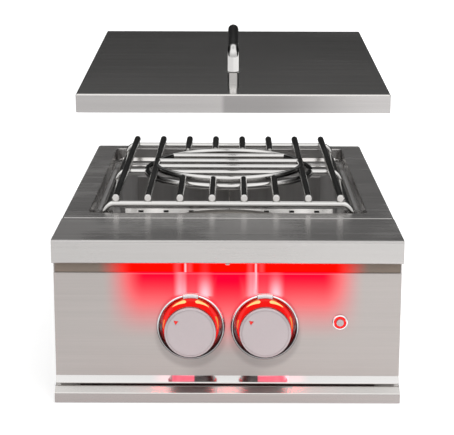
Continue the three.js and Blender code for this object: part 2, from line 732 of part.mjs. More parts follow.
function gas_line() {
  const z = manifold_z;
  const points = [
    [knob_places.left - manifold_left, behind(manifold_setback), z],
    [manifold_side, behind(manifold_setback), z],
    [manifold_side, behind(manifold_end), z],
  ];
  add("gas_manifold", bar(points, manifold_radius, manifold_bend, tube_facets), plain_steel);
  const hex_front = housing_back + gap;
  const fitting = joined([
    rod_y(manifold_side, z, inlet_radius, behind(manifold_end + gap), behind(inlet_tail),
      small_round_facets),
    rod_y(manifold_side, z, inlet_hex, behind(hex_front),
      behind(hex_front + inlet_hex_length), hex),
  ]);
  add("gas_inlet", fitting.subtract(rod_y(manifold_side, z, inlet_flow_bore,
    behind(inlet_tail - inlet_flow_depth), behind(inlet_tail + overrun), bore_facets)), brass);
}

// Light button
const switch_flange = 10;
const switch_flange_rise = 2.4;
const switch_flange_edge = 1.2; // its bevel
const switch_seat = 7.5; // inner recess that takes the lit ring
const switch_seat_depth = 7;
const switch_ring_inner = 5.4;
const switch_cap_radius = 5;
const switch_cap_rise = 3.4;
const switch_cap_edge = 0.6;
const switch_tail = 36;
const switch_nut = 11;
const switch_nut_thickness = 4;
const switch_travel = 2;

function light_button() {
  const z = below(switch_drop);
  const seat = panel_setback - gap;
  const body = turned_y([[0, behind(seat - switch_flange_rise)],
    [switch_flange - switch_flange_edge, behind(seat - switch_flange_rise)],
    [switch_flange, behind(seat - switch_flange_rise + switch_flange_edge)],
    [switch_flange, behind(seat)],
    [switch_barrel, behind(seat)], [switch_barrel, behind(switch_tail)],
    [0, behind(switch_tail)]], switch_side, z, small_round_facets);
  const recess_end = seat - switch_flange_rise + switch_seat_depth;
  const recess = rod_y(switch_side, z, switch_seat, behind(seat - switch_flange_rise - overrun),
    behind(recess_end), small_round_facets);
  add("switch_body", body.subtract(recess), chrome);
  const ring_front = seat - switch_flange_rise + gap;
  add("switch_light_ring", turned_y([[switch_ring_inner, behind(recess_end - gap)],
    [switch_ring_inner, behind(ring_front)], [switch_seat - gap, behind(ring_front)],
    [switch_seat - gap, behind(recess_end - gap)]], switch_side, z, small_round_facets),
  red_lens);
  const cap_front = seat - switch_cap_rise;
  add("switch_cap", turned_y([[0, behind(cap_front)],
    [switch_cap_radius - switch_cap_edge, behind(cap_front)],
    [switch_cap_radius, behind(cap_front + switch_cap_edge)],
    [switch_cap_radius, behind(recess_end - gap - switch_travel)],
    [0, behind(recess_end - gap - switch_travel)]], switch_side, z, small_round_facets),
  satin_silver);
  const nut_front = panel_setback + sheet + gap;
  const barrel = rod_y(switch_side, z, switch_barrel + gap, behind(nut_front - overrun),
    behind(nut_front + switch_nut_thickness + overrun), small_round_facets);
  add("switch_nut", rod_y(switch_side, z, switch_nut, behind(nut_front),
    behind(nut_front + switch_nut_thickness), hex).subtract(barrel), brass);
}

// Heat shield between the valves and the tub
const shield_standoff = 22; // ahead of the tub
const shield_setback = tub_front - shield_standoff;
const shield_top = 24;
const shield_foot_gap = 3.2; // above the drip tray
const shield_foot = tray_top + shield_foot_gap;
const pipe_clearance = 2;
function heat_shield() {
  const half = housing_half_width - sheet - gap;
  const plate = box(-half, half, behind(shield_setback), behind(shield_setback + sheet),
    shield_foot, below(shield_top));
  const through = (x, z, radius) => rod_y(x, z, radius, behind(shield_setback - overrun),
    behind(shield_setback + sheet + overrun), small_round_facets);
  add("heat_shield", cut(plate, [
    ...Object.values(knob_places).map((x) => through(x, knob_z, venturi_hole)),
    through(manifold_side, manifold_z, manifold_radius + pipe_clearance),
  ]), plain_steel);
}

// Burners
const burner_height = 18;
const burner_foot = knob_drop - venturi_radius - burner_lift; // depth below the deck
const burner_top = burner_foot - burner_height;
const outer_ring_inner = 84;
const inner_ring_outer = 60;
const inner_ring_inner = 36;
const burner_chamfer = 4;
const venturi_mouth_gap = 6; // behind the orifice
const venturi_mouth = orifice_end + venturi_mouth_gap;
const venturi_bell = 14;
const venturi_bell_length = 12;
const venturi_bore_depth = 24;
const venturi_bend = 12; // middle-line radius
const bracket_width = 22;
const bracket_ahead = 55; // of the ring centres
const bracket_behind = 52;
const bracket_places = { front: burner_setback - bracket_ahead,
  rear: burner_setback + bracket_behind };
const bracket_leg = 12;
const venturi_turn = 20; // where a tube heads for its burner, behind the tub's front
const outer_landing_share = -0.46; // across the ring's middle radius
const inner_landing_share = 0.8;
const ports = 36;
const port_width = 2.4;
const port_height = 3.2;
const port_depth = 5;
const port_drop = 5.2; // its middle below the burner's top

function burner_ring(name, outer, inner) {
  const top = below(burner_top);
  const foot = top - burner_height;
  const ring = turned_z([[inner, foot], [outer, foot], [outer, top - burner_chamfer],
    [outer - burner_chamfer, top], [inner + burner_chamfer, top],
    [inner, top - burner_chamfer]], 0, 0, round_facets);
  const level = top - port_drop;
  const port = box(outer - port_depth, outer + overrun, -port_width / 2, port_width / 2,
    level - port_height / 2, level + port_height / 2);
  const around = Array.from({ length: ports }, (_, i) => port.rotate([0, 0, (360 * i) / ports]));
  add(name, cut(ring, around).translate([0, behind(burner_setback), 0]), plain_steel);
}
function venturi(name, x, middle_radius, landing_share) {
  const foot = below(burner_top) - burner_height - gap;
  const landing_x = middle_radius * landing_share;
  const landing = behind(burner_setback - Math.sqrt(middle_radius ** 2 - landing_x ** 2));
  const tube = bar([[x, behind(venturi_mouth), knob_z],
    [x, behind(tub_front + venturi_turn), knob_z], [landing_x, landing, knob_z],
    [landing_x, landing, foot]], venturi_radius, venturi_bend, tube_facets);
  const bell = turned_y([[0, behind(venturi_mouth)], [venturi_bell, behind(venturi_mouth)],
    [venturi_radius, behind(venturi_mouth + venturi_bell_length)],
    [0, behind(venturi_mouth + venturi_bell_length)]], x, knob_z, tube_facets);
  const mouth = rod_y(x, knob_z, venturi_radius - sheet, behind(venturi_mouth - overrun),
    behind(venturi_mouth + venturi_bore_depth));
  add(name, joined([tube, bell]).subtract(mouth), plain_steel);
}
function burner_bracket(name, middle) {
  const top = below(burner_top) - burner_height - gap - half_sheet;
  const half = tub_half_width - gap - half_sheet;
  const section = folded([[-half, top - bracket_leg], [-half, top], [half, top],
    [half, top - bracket_leg]]);
  add(name, front_profile(section, behind(middle - bracket_width / 2),
    behind(middle + bracket_width / 2)), plain_steel);
}

// Igniter: a wire electrode in a ceramic sleeve on a small bracket.
const igniter_side = 1;
const igniter_standoff = 8; // behind the outer burner
const igniter_setback = burner_setback + outer_ring_outer + igniter_standoff;
const igniter_tip_rise = 33.5; // above the burners
const igniter_tip_drop = burner_top - igniter_tip_rise;
const igniter_tip_side = -5; // the hooked tip, left of the wire
const igniter_wire = 1.1;
const igniter_bend = 2;
const igniter_tip = 3;
const igniter_sleeve = 4;
const igniter_sleeve_height = 37; // above the tub's floor
const igniter_sleeve_top = tub_floor - igniter_sleeve_height;
const igniter_foot_length = 24;
const igniter_half_width = 8;

function igniter() {
  const floor_z = below(tub_floor) + gap;
  const sleeve_foot = floor_z + sheet + gap;
  const y = behind(igniter_setback);
  const sleeve = rod_z(igniter_side, y, igniter_sleeve, sleeve_foot,
    below(igniter_sleeve_top));
  const wire_bore = rod_z(igniter_side, y, igniter_wire + gap, sleeve_foot + sheet,
    below(igniter_sleeve_top - overrun), rod_facets);
  add("igniter_sleeve", sleeve.subtract(wire_bore), ceramic);
  const wire = bar([[igniter_side, y, sleeve_foot + sheet + gap],
    [igniter_side, y, below(igniter_tip_drop)],
    [igniter_tip_side, y, below(igniter_tip_drop)]], igniter_wire, igniter_bend, wire_facets);
  const tip = solid(new THREE.SphereGeometry(igniter_tip, rod_facets, wire_facets)
    .translate(igniter_tip_side, y, below(igniter_tip_drop)));
  add("igniter_electrode", wire.add(tip), polished_steel);
  const section = folded([
    [behind(igniter_setback - igniter_foot_length / 2), floor_z + half_sheet],
    [behind(igniter_setback + igniter_foot_length / 2), floor_z + half_sheet],
    [behind(igniter_setback + igniter_foot_length / 2), below(igniter_sleeve_top)],
  ]);
  add("igniter_bracket", side_profile(section, igniter_side - igniter_half_width,
    igniter_side + igniter_half_width), plain_steel);
}

// Grate
const rod_radius = 4.6;
const rods = 8;
const rod_front_inset = 15; // behind the opening's front
const rod_back_inset = 1;
const rod_front = opening_front + rod_front_inset;
const rod_back = opening_back - rod_back_inset;
const rod_rise = 16.5; // axis above the deck
const cross_rise = rod_rise - 2 * rod_radius + weld;
const cross_front_inset = 2; // behind the rods' front ends
const cross_rear_inset = 13; // ahead of their back ends
const cross_ahead = 15; // the middle one, ahead of the ring's centre
const cross_middle = burner_setback - cross_ahead;
const cross_front = rod_front + cross_front_inset;
const cross_rear = rod_back - cross_rear_inset;
const rail_inset = 19.6;
const rail_side = opening_half_width - rail_inset;
const rod_side_gap = 14.8; // outermost rods inside the rails
const rod_pitch = (2 * (rail_side - rod_side_gap)) / (rods - 1);
const rail_drop = 7.4; // axis below the deck
const cross_bend = 13;
const hoop_radius = 121.4; // lower ring, welded under the rods
const cradle_gap = 1.2; // the rods are coped clear of the lift-out ring
const insert_radius = 107.3;
const cradle_radius = insert_radius + rod_radius + cradle_gap;
const insert_bars = 4;
const lug_radius = rod_radius - weld - gap; // fills the space over the lower ring
const lug_rods = 1.5; // a lug lies in line with a rod, this many pitches from the middle
const lug_side = rod_pitch * lug_rods;
const lug_joint = 1.2; // left between a lug and its rod, over the lower ring's crest
const lug_reach = Math.sqrt(hoop_radius ** 2 - lug_side ** 2) - lug_joint / 2;

function grate() {
  const z = unit_height + rod_rise;
  const cross_z = unit_height + cross_rise;
  const rail_z = below(rail_drop);
  const centre = burner_setback;
  const cradle = rod_z(0, behind(centre), cradle_radius, z - rod_radius - overrun,
    z + rod_radius + overrun, round_facets);
  const rod_end = lug_reach + lug_joint;
  const lug_spaces = sides.map((side) => box(side * lug_side - rod_radius - sheet,
    side * lug_side + rod_radius + sheet, behind(centre) - rod_end, behind(centre) + rod_end,
    z - rod_radius - overrun, z + rod_radius + overrun));
  const top_rods = Array.from({ length: rods }, (_, i) => rod_y(rod_pitch * (i - (rods - 1) / 2),
    z, rod_radius, behind(rod_front), behind(rod_back), rod_facets));
  const rails = sides.map((side) => rod_y(side * rail_side, rail_z, rod_radius,
    behind(cross_front - rod_radius), behind(cross_rear + rod_radius), rod_facets));
  const half_cross = (y, side, inner) => bar([[side * rail_side, behind(y), rail_z],
    [side * rail_side, behind(y), cross_z], [side * inner, behind(y), cross_z]],
  rod_radius, cross_bend, rod_facets);
  const whole_cross = (y) => bar([[-rail_side, behind(y), rail_z],
    [-rail_side, behind(y), cross_z], [rail_side, behind(y), cross_z],
    [rail_side, behind(y), rail_z]], rod_radius, cross_bend, rod_facets);
  const hoop_half = Math.sqrt(hoop_radius ** 2 - (centre - cross_middle) ** 2);
  const crosses = [whole_cross(cross_front), whole_cross(cross_rear),
    ...sides.map((side) => half_cross(cross_middle, side, hoop_half))];
  const hoop = ring_rod(0, behind(centre), cross_z, hoop_radius, rod_radius, rod_facets,
    round_facets);
  add("grate", joined([hoop, ...rails, ...crosses,
    cut(joined(top_rods), [cradle, ...lug_spaces])]), rod_steel);
}
function ring_insert() {
  const z = unit_height + rod_rise;
  const y = behind(burner_setback);
  const ring = ring_rod(0, y, z, insert_radius, rod_radius, rod_facets, round_facets);
  const bars = Array.from({ length: insert_bars }, (_, i) => {
    const off = rod_pitch * (i - (insert_bars - 1) / 2);
    const half = Math.sqrt(insert_radius ** 2 - off ** 2);
    return rod_x(y + off, z, rod_radius, -half, half, rod_facets);
  });
  const lug_start = Math.sqrt(insert_radius ** 2 - lug_side ** 2);
  const lugs = sides.flatMap((side) => [
    rod_y(side * lug_side, z, lug_radius, y - lug_reach, y - lug_start, rod_facets),
    rod_y(side * lug_side, z, lug_radius, y + lug_start, y + lug_reach, rod_facets),
  ]);
  add("ring_insert", joined([ring, ...bars, ...lugs]), rod_steel);
}
// Brackets on the opening's wall that carry the grate's side rails.
const rest_width = 12;
const rest_front_inset = 51; // from the rods' front ends
const rest_rear_inset = 56;
const rest_places = { front: rod_front + rest_front_inset, rear: rod_back - rest_rear_inset };
const rest_overhang = 7; // its shelf part, past the rail's axis
function grate_rests() {
  const top = below(rail_drop + rod_radius + gap);
  const wall = opening_half_width - gap - half_sheet;
  const leg_foot = below(opening_wall - opening_hem - gap);
  for (const side of sides) {
    const inner = rail_side - rest_overhang;
    const section = folded([[side * inner, top - half_sheet], [side * wall, top - half_sheet],
      [side * wall, leg_foot]], sheet, sheet);
    for (const [end, place] of Object.entries(rest_places)) {
      add(`grate_rest_${side_names[side]}_${end}`, front_profile(section,
        behind(place - rest_width / 2), behind(place + rest_width / 2)), brushed_steel);
    }
  }
}

// Lid, built seated and level, then lifted as photographed
const lid_sheet = 1.5;
const lid_edge = 2.5; // radius of its folded top edges
const handle_radius = 7.9;
const handle_front = 146.3; // its front post's face, from the lid's front
const handle_height = 38.4;
const handle_bend = 15;
const lid_screw_radius = 2.4;
const lid_screw_head = 5;
const lid_screw_head_height = 1.4; // low, to pass over the grate
const lid_screw_length = 13.4; // above the lid's top
const tap_depth = lid_screw_length + lid_sheet / 2;
const handle_bend_steps = 5;

const lift = new THREE.Matrix4()
  .makeTranslation(lid_hover_side, behind(lid_hover_setback), unit_height + lid_hover_rise)
  .multiply(new THREE.Matrix4().makeRotationX(lid_hover_tilt));

function add_lifted(name, body, material) {
  add(name, body, material).geometry.applyMatrix4(lift);
}
// Local frame: the middle of the lid's top front edge.
function lid() {
  const half = lid_width / 2;
  const soft = (a0, a1) => {
    const shape = new THREE.Shape();
    shape.moveTo(a0, -lid_height);
    shape.lineTo(a1, -lid_height);
    shape.lineTo(a1, -lid_edge);
    shape.absarc(a1 - lid_edge, -lid_edge, lid_edge, 0, Math.PI / 2);
    shape.lineTo(a0 + lid_edge, 0);
    shape.absarc(a0 + lid_edge, -lid_edge, lid_edge, Math.PI / 2, Math.PI);
    return shape;
  };
  const outer = front_profile(soft(-half, half), 0, lid_length)
    .intersect(side_profile(soft(0, lid_length), -half, half));
  const hollow = box(-half + lid_sheet, half - lid_sheet, lid_sheet, lid_length - lid_sheet,
    -lid_height - overrun, -lid_sheet);
  const posts = [handle_front + handle_radius, lid_length - handle_front - handle_radius];
  const screw_holes = posts.map((y) => rod_z(0, y, lid_screw_radius + gap,
    -lid_sheet - overrun, overrun));
  add_lifted("lid_panel", cut(outer, [hollow, ...screw_holes]), brushed_steel);

  const top = handle_height - handle_radius;
  const handle = bar([[0, posts[0], gap], [0, posts[0], top], [0, posts[1], top],
    [0, posts[1], gap]], handle_radius, handle_bend, bore_facets, handle_bend_steps);
  const taps = posts.map((y) => rod_z(0, y, lid_screw_radius + gap, -overrun, tap_depth));
  add_lifted("lid_handle", cut(handle, taps), polished_steel);
  posts.forEach((y, i) => {
    const head_top = -lid_sheet - gap;
    add_lifted(`lid_screw_${i ? "rear" : "front"}`, joined([
      rod_z(0, y, lid_screw_head, head_top - lid_screw_head_height, head_top, bore_facets),
      rod_z(0, y, lid_screw_radius, head_top - lid_screw_head_height, lid_screw_length),
    ]), plain_steel);
  });
}

// Build
front_shelf();
deck_frame();
housing_shell();
housing_floor();
burner_tub();
rear_deflector();
drip_tray();
control_panel();
light_bar();
for (const [side, x] of Object.entries(knob_places)) knob_set(side, x);
gas_line();
light_button();
heat_shield();
burner_ring("outer_burner", outer_ring_outer, outer_ring_inner);
burner_ring("inner_burner", inner_ring_outer, inner_ring_inner);
venturi("outer_venturi", knob_places.left, (outer_ring_outer + outer_ring_inner) / 2,
  outer_landing_share);
venturi("inner_venturi", knob_places.right, (inner_ring_outer + inner_ring_inner) / 2,
  inner_landing_share);
for (const [end, place] of Object.entries(bracket_places)) {
  burner_bracket(`burner_bracket_${end}`, place);
}
igniter();
grate();
ring_insert();
grate_rests();
lid();

export default unit;
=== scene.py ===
import math

import bmesh
import bpy
from mathutils import Matrix, Vector


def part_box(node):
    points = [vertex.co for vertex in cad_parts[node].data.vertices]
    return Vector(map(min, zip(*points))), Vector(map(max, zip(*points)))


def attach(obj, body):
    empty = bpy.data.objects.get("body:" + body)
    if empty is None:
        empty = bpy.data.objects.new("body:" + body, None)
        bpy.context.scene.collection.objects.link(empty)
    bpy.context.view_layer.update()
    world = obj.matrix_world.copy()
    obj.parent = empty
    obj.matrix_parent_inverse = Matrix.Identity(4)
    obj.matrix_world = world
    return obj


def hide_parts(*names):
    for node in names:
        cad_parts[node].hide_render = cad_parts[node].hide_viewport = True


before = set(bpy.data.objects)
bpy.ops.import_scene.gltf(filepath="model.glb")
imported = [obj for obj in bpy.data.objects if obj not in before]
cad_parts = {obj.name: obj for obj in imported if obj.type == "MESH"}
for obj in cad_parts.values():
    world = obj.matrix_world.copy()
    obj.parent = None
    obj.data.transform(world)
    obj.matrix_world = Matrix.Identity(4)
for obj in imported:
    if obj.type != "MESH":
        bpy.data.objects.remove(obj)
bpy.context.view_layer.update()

# Looks of the built-in side burner: finer folded sheet, rods, knobs and burners over the CAD
# frame, steel, chrome and lit red materials, and a plain pale studio.
# Lengths are millimetres in the values below and become metres when a piece is made.
METRE = 0.001
SCENE = bpy.context.scene

# ---------------------------------------------------------------- measures from the CAD
SHELF_LOW, SHELF_HIGH = (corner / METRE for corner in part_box("front_shelf"))
FRONT = SHELF_LOW.y
DECK_TOP = SHELF_HIGH.z
HALF_WIDTH = SHELF_HIGH.x
DECK_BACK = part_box("deck_frame")[1].y / METRE
SHEET = 1.5
HALF_SHEET = SHEET / 2
BEND = 2.2
THIN_SHEET = 0.8
SHELF_FACE = 29.5
GAP, HAIR = 0.3, 0.05
EASE_SHOULDER = 0.3
WELD_DISTANCE = 2e-6


def behind(distance):
    """A place this far behind the deck's front edge."""
    return FRONT + distance


def below(distance):
    """A height this far below the deck's top."""
    return DECK_TOP - distance


def centre_of(node):
    low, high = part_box(node)
    return (low + high) / 2 / METRE


# ---------------------------------------------------------------- forms
# A form is (points, faces) in millimetres. Several are joined with together().
def together(*forms):
    points, faces = [], []
    for form_points, form_faces in forms:
        start = len(points)
        points += form_points
        faces += [tuple(start + i for i in face) for face in form_faces]
    return points, faces


def lofted(loops, closed=False):
    """Joins loops of the same length. A closed loft joins the last to the first."""
    count = len(loops[0])
    points = [point for loop in loops for point in loop]
    faces = []
    for ring in range(len(loops) if closed else len(loops) - 1):
        low, high = ring * count, ((ring + 1) % len(loops)) * count
        faces += [(low + i, low + (i + 1) % count, high + (i + 1) % count, high + i)
                  for i in range(count)]
    if not closed:
        last = (len(loops) - 1) * count
        faces += [tuple(reversed(range(count))), tuple(range(last, last + count))]
    return points, faces


def run_x(outline, x0, x1):
    """A side outline of (y, z) run from x0 to x1."""
    return lofted([[(x, y, z) for y, z in outline] for x in (x0, x1)])


def run_y(outline, y0, y1):
    """A front outline of (x, z) run from y0 to y1."""
    return lofted([[(x, y, z) for x, z in outline] for y in (y0, y1)])


def plan_loop(x0, x1, y0, y1, radius, z, steps=8):
    """A level rectangle with rounded corners."""
    corners = ((x1 - radius, y0 + radius, -90), (x1 - radius, y1 - radius, 0),
               (x0 + radius, y1 - radius, 90), (x0 + radius, y0 + radius, 180))
    loop = []
    for x, y, start in corners:
        for step in range(steps + 1):
            angle = math.radians(start + 90 * step / steps)
            loop.append((x + radius * math.cos(angle), y + radius * math.sin(angle), z))
    return loop


def block(x0, x1, y0, y1, z0, z1, radius=0.4):
    return lofted([plan_loop(x0, x1, y0, y1, radius, z, 2) for z in (z0, z1)])


def folded_line(corners, radius, steps=8):
    """Places and directions along a folded sheet's middle line, corners rounded."""
    corners = [Vector(corner) for corner in corners]
    stations = []
    for i, corner in enumerate(corners):
        arriving = (corner - corners[i - 1]).normalized() if i else None
        leaving = (corners[i + 1] - corner).normalized() if i + 1 < len(corners) else None
        if arriving is None or leaving is None:
            stations.append((corner, arriving or leaving))
            continue
        turn = math.atan2(arriving.x * leaving.y - arriving.y * leaving.x, arriving.dot(leaving))
        start = corner - arriving * radius * math.tan(abs(turn) / 2)
        inward = Vector((-arriving.y, arriving.x)) * math.copysign(radius, turn)
        centre = start + inward
        for step in range(steps + 1):
            spin = Matrix.Rotation(turn * step / steps, 2)
            stations.append((centre + spin @ (start - centre), spin @ arriving))
    return stations


def folded(corners, radius=BEND, thickness=SHEET):
    """The closed outline of a folded sheet, from its middle line."""
    stations = folded_line(corners, radius)
    side = [Vector((-way.y, way.x)) * thickness / 2 for _, way in stations]
    left = [tuple(at + off) for (at, _), off in zip(stations, side)]
    right = [tuple(at - off) for (at, _), off in zip(stations, side)]
    return left + right[::-1]


def end_plates(corners, half, radius=BEND, closing=()):
    """Plates that close both ends of a folded sheet, a hair inside its ends."""
    outline = [tuple(at) for at, _ in folded_line(corners, radius)] + list(closing)
    outer, inner = half - HAIR, half - SHEET
    return together(run_x(outline, -outer, -inner), run_x(outline, inner, outer))


def turned(profile, centre, axis="Y", steps=96):
    """A closed (radius, distance) profile turned about a line through centre."""
    loops = []
    for step in range(steps):
        angle = math.tau * step / steps
        c, s = math.cos(angle), math.sin(angle)
        if axis == "Y":
            loops.append([(centre.x + r * c, at, centre.z + r * s) for r, at in profile])
        elif axis == "Z":
            loops.append([(centre.x + r * c, centre.y + r * s, at) for r, at in profile])
        else:
            loops.append([(at, centre.y + r * c, centre.z + r * s) for r, at in profile])
    return lofted(loops, closed=True)


def bent_path(corners, bend, steps=12):
    """A path through the corners, each one rounded with the bend radius."""
    corners = [Vector(corner) for corner in corners]
    path = [corners[0]]
    for before, corner, after in zip(corners, corners[1:], corners[2:]):
        back, on = (before - corner).normalized(), (after - corner).normalized()
        half = back.angle(on) / 2
        centre = corner + (back + on).normalized() * bend / math.sin(half)
        arm = corner + back * bend / math.tan(half) - centre
        spin = back.cross(on)
        for step in range(steps + 1):
            turn = Matrix.Rotation(-(math.pi - 2 * half) * step / steps, 3, spin)
            path.append(centre + turn @ arm)
    return path + [corners[-1]]


def rod(corners, radius, bend=1, around=28, ease=0.5):
    """A round bar along straight runs joined by bends, with eased ends."""
    path = bent_path(corners, bend)
    ways = [(path[min(i + 1, len(path) - 1)] - path[max(i - 1, 0)]).normalized()
            for i in range(len(path))]
    side = ways[0].orthogonal().normalized()
    stations = []
    for at, way in zip(path, ways):
        side = (side - way * side.dot(way)).normalized()
        stations.append((at, way, side.copy(), radius))
    first, last = stations[0], stations[-1]
    profile = [(radius - ease, 0), (radius - ease * EASE_SHOULDER, ease * (1 - EASE_SHOULDER)),
               (radius, ease)]
    start = [(first[0] + first[1] * off, first[1], first[2], r) for r, off in profile]
    end = [(last[0] - last[1] * off, last[1], last[2], r) for r, off in profile[::-1]]
    loops = []
    for at, way, side, size in start + stations[1:-1] + end:
        up = way.cross(side)
        loops.append([tuple(at + (side * math.cos(a) + up * math.sin(a)) * size)
                      for a in (math.tau * i / around for i in range(around))])
    return lofted(loops)


def hoop(centre, radius, rod_radius, steps=144, around=28):
    """A round bar bent into a level ring."""
    profile = [(radius + rod_radius * math.cos(math.tau * i / around),
                centre.z + rod_radius * math.sin(math.tau * i / around))
               for i in range(around)]
    return turned(profile, centre, "Z", steps)


# ---------------------------------------------------------------- pieces
def bare(name, form):
    """A mesh piece from a form, with no material or place yet."""
    points, faces = form
    mesh = bpy.data.meshes.new(name)
    mesh.from_pydata([[value * METRE for value in point] for point in points], [], faces)
    tidy = bmesh.new()
    tidy.from_mesh(mesh)
    bmesh.ops.remove_doubles(tidy, verts=tidy.verts, dist=WELD_DISTANCE)
    bmesh.ops.recalc_face_normals(tidy, faces=tidy.faces)
    tidy.to_mesh(mesh)
    tidy.free()
    made = bpy.data.objects.new(name, mesh)
    SCENE.collection.objects.link(made)
    return made


def apply_modifiers(made):
    bpy.context.view_layer.update()
    shaped = made.evaluated_get(bpy.context.evaluated_depsgraph_get())
    mesh = bpy.data.meshes.new_from_object(shaped)
    made.modifiers.clear()
    made.data = mesh


def carve(made, form, operation="DIFFERENCE"):
    """Cuts a form out of a piece, or keeps only what both share."""
    tool = bare("tool", form)
    cutter = made.modifiers.new("carve", "BOOLEAN")
    cutter.operation, cutter.solver, cutter.object = operation, "EXACT", tool
    apply_modifiers(made)
    bpy.data.objects.remove(tool)


def finished(made, material, body, nodes=(), edge=0, sharp=38):
    """Smooth shading with true flats, eased sheet edges, a material, and its place."""
    if edge:
        ease = made.modifiers.new("eased_edges", "BEVEL")
        ease.width, ease.segments = edge * METRE, 2
        ease.limit_method, ease.angle_limit = "ANGLE", math.radians(sharp)
        ease.use_clamp_overlap = True
        apply_modifiers(made)
    made.data.shade_smooth()
    made.data.set_sharp_from_angle(angle=math.radians(sharp))
    flats = made.modifiers.new("true_flats", "WEIGHTED_NORMAL")
    flats.weight, flats.keep_sharp = 100, True
    made.data.materials.clear()
    made.data.materials.append(material)
    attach(made, body)
    if nodes:
        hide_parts(*nodes)
    return made


# ---------------------------------------------------------------- shader groups
def node(tree, kind, inputs=(), **settings):
    made = tree.nodes.new(kind)
    for key, value in settings.items():
        setattr(made, key, value)
    for key, value in dict(inputs).items():
        if isinstance(value, bpy.types.NodeSocket):
            tree.links.new(value, made.inputs[key])
        else:
            made.inputs[key].default_value = value
    return made


def new_group(name, inputs, outputs):
    tree = bpy.data.node_groups.new(name, "ShaderNodeTree")
    for label, kind, value in inputs:
        socket = tree.interface.new_socket(label, in_out="INPUT", socket_type=kind)
        socket.default_value = value
    for label, kind in outputs:
        tree.interface.new_socket(label, in_out="OUTPUT", socket_type=kind)
    return tree, tree.nodes.new("NodeGroupInput"), tree.nodes.new("NodeGroupOutput")


def math_node(tree, operation, a, b=0.0, clamp=False):
    return node(tree, "ShaderNodeMath", {0: a, 1: b}, operation=operation,
                use_clamp=clamp).outputs[0]


def span(tree, value, low, high, to_low=0.0, to_high=1.0):
    return node(tree, "ShaderNodeMapRange", {
        "Value": value, "From Min": low, "From Max": high, "To Min": to_low,
        "To Max": to_high}, interpolation_type="SMOOTHSTEP").outputs["Result"]


def blend_colours(tree, share, first, second, mode="MIX"):
    made = tree.nodes.new("ShaderNodeMix")
    made.data_type, made.blend_type = "RGBA", mode
    for key, value in ((0, share), (6, first), (7, second)):
        if isinstance(value, bpy.types.NodeSocket):
            tree.links.new(value, made.inputs[key])
        else:
            made.inputs[key].default_value = value
    return made.outputs[2]


def toned(tree, colour, level):
    """A colour made lighter or darker by one level."""
    tone = node(tree, "ShaderNodeCombineColor", {0: level, 1: level, 2: level})
    return blend_colours(tree, 1.0, colour, tone.outputs[0], "MULTIPLY")


def noise(tree, place, scale, detail=3.0, roughness=0.5):
    return node(tree, "ShaderNodeTexNoise", {"Vector": place, "Scale": scale, "Detail": detail,
                                             "Roughness": roughness}).outputs["Fac"]


def stretched(tree, stretch):
    place = node(tree, "ShaderNodeTexCoord").outputs["Object"]
    return node(tree, "ShaderNodeVectorMath", {0: place, 1: stretch},
                operation="MULTIPLY").outputs[0]


def brushing_group():
    """Fine and broad brush lines, long one way and tight across."""
    tree, given, out = new_group("brushing", [
        ("Steel", "NodeSocketColor", (0.6, 0.6, 0.6, 1)),
        ("Line Stretch", "NodeSocketVector", (9, 900, 900)),
        ("Line Strength", "NodeSocketFloat", 0.12),
        ("Roughness", "NodeSocketFloat", 0.3),
    ], [("Color", "NodeSocketColor"), ("Roughness", "NodeSocketFloat"),
        ("Height", "NodeSocketFloat")])
    place = stretched(tree, given.outputs["Line Stretch"])
    fine = noise(tree, place, 1.0, 4.0, 0.7)
    broad = noise(tree, place, 0.16, 2.0)
    lines = math_node(tree, "ADD", math_node(tree, "MULTIPLY", fine, 0.6),
                      math_node(tree, "MULTIPLY", broad, 0.4))
    offset = math_node(tree, "SUBTRACT", lines, 0.5)
    shade = math_node(tree, "MULTIPLY", offset, given.outputs["Line Strength"])
    brighter = math_node(tree, "ADD", math_node(tree, "MULTIPLY", shade, 2.0), 1.0)
    tree.links.new(toned(tree, given.outputs["Steel"], brighter), out.inputs["Color"])
    rough = math_node(tree, "ADD", given.outputs["Roughness"], shade)
    tree.links.new(rough, out.inputs["Roughness"])
    tree.links.new(lines, out.inputs["Height"])
    return tree


def handling_group():
    """Faint cloudy wipe marks that lift the roughness here and there."""
    tree, given, out = new_group("handling", [
        ("Cloud Size", "NodeSocketFloat", 9.0), ("Strength", "NodeSocketFloat", 0.06),
    ], [("Mask", "NodeSocketFloat"), ("Roughness Lift", "NodeSocketFloat")])
    place = node(tree, "ShaderNodeTexCoord").outputs["Object"]
    cloud = noise(tree, place, given.outputs["Cloud Size"], 3.0)
    mask = span(tree, cloud, 0.42, 0.68)
    tree.links.new(mask, out.inputs["Mask"])
    tree.links.new(math_node(tree, "MULTIPLY", mask, given.outputs["Strength"]),
                   out.inputs["Roughness Lift"])
    return tree


def grain_group():
    """Close even grain of cast, blasted or fired surfaces."""
    tree, given, out = new_group("surface_grain", [
        ("Base", "NodeSocketColor", (0.5, 0.5, 0.5, 1)),
        ("Grain Size", "NodeSocketFloat", 700.0), ("Variation", "NodeSocketFloat", 0.1),
    ], [("Color", "NodeSocketColor"), ("Height", "NodeSocketFloat")])
    place = node(tree, "ShaderNodeTexCoord").outputs["Object"]
    grain = noise(tree, place, given.outputs["Grain Size"], 2.0)
    cloud = noise(tree, place, 34.0, 3.0)
    both = math_node(tree, "ADD", math_node(tree, "MULTIPLY", grain, 0.5),
                     math_node(tree, "MULTIPLY", cloud, 0.5))
    shade = math_node(tree, "MULTIPLY", math_node(tree, "SUBTRACT", both, 0.5),
                      given.outputs["Variation"])
    brighter = math_node(tree, "ADD", math_node(tree, "MULTIPLY", shade, 4.0), 1.0)
    tree.links.new(toned(tree, given.outputs["Base"], brighter), out.inputs["Color"])
    tree.links.new(grain, out.inputs["Height"])
    return tree


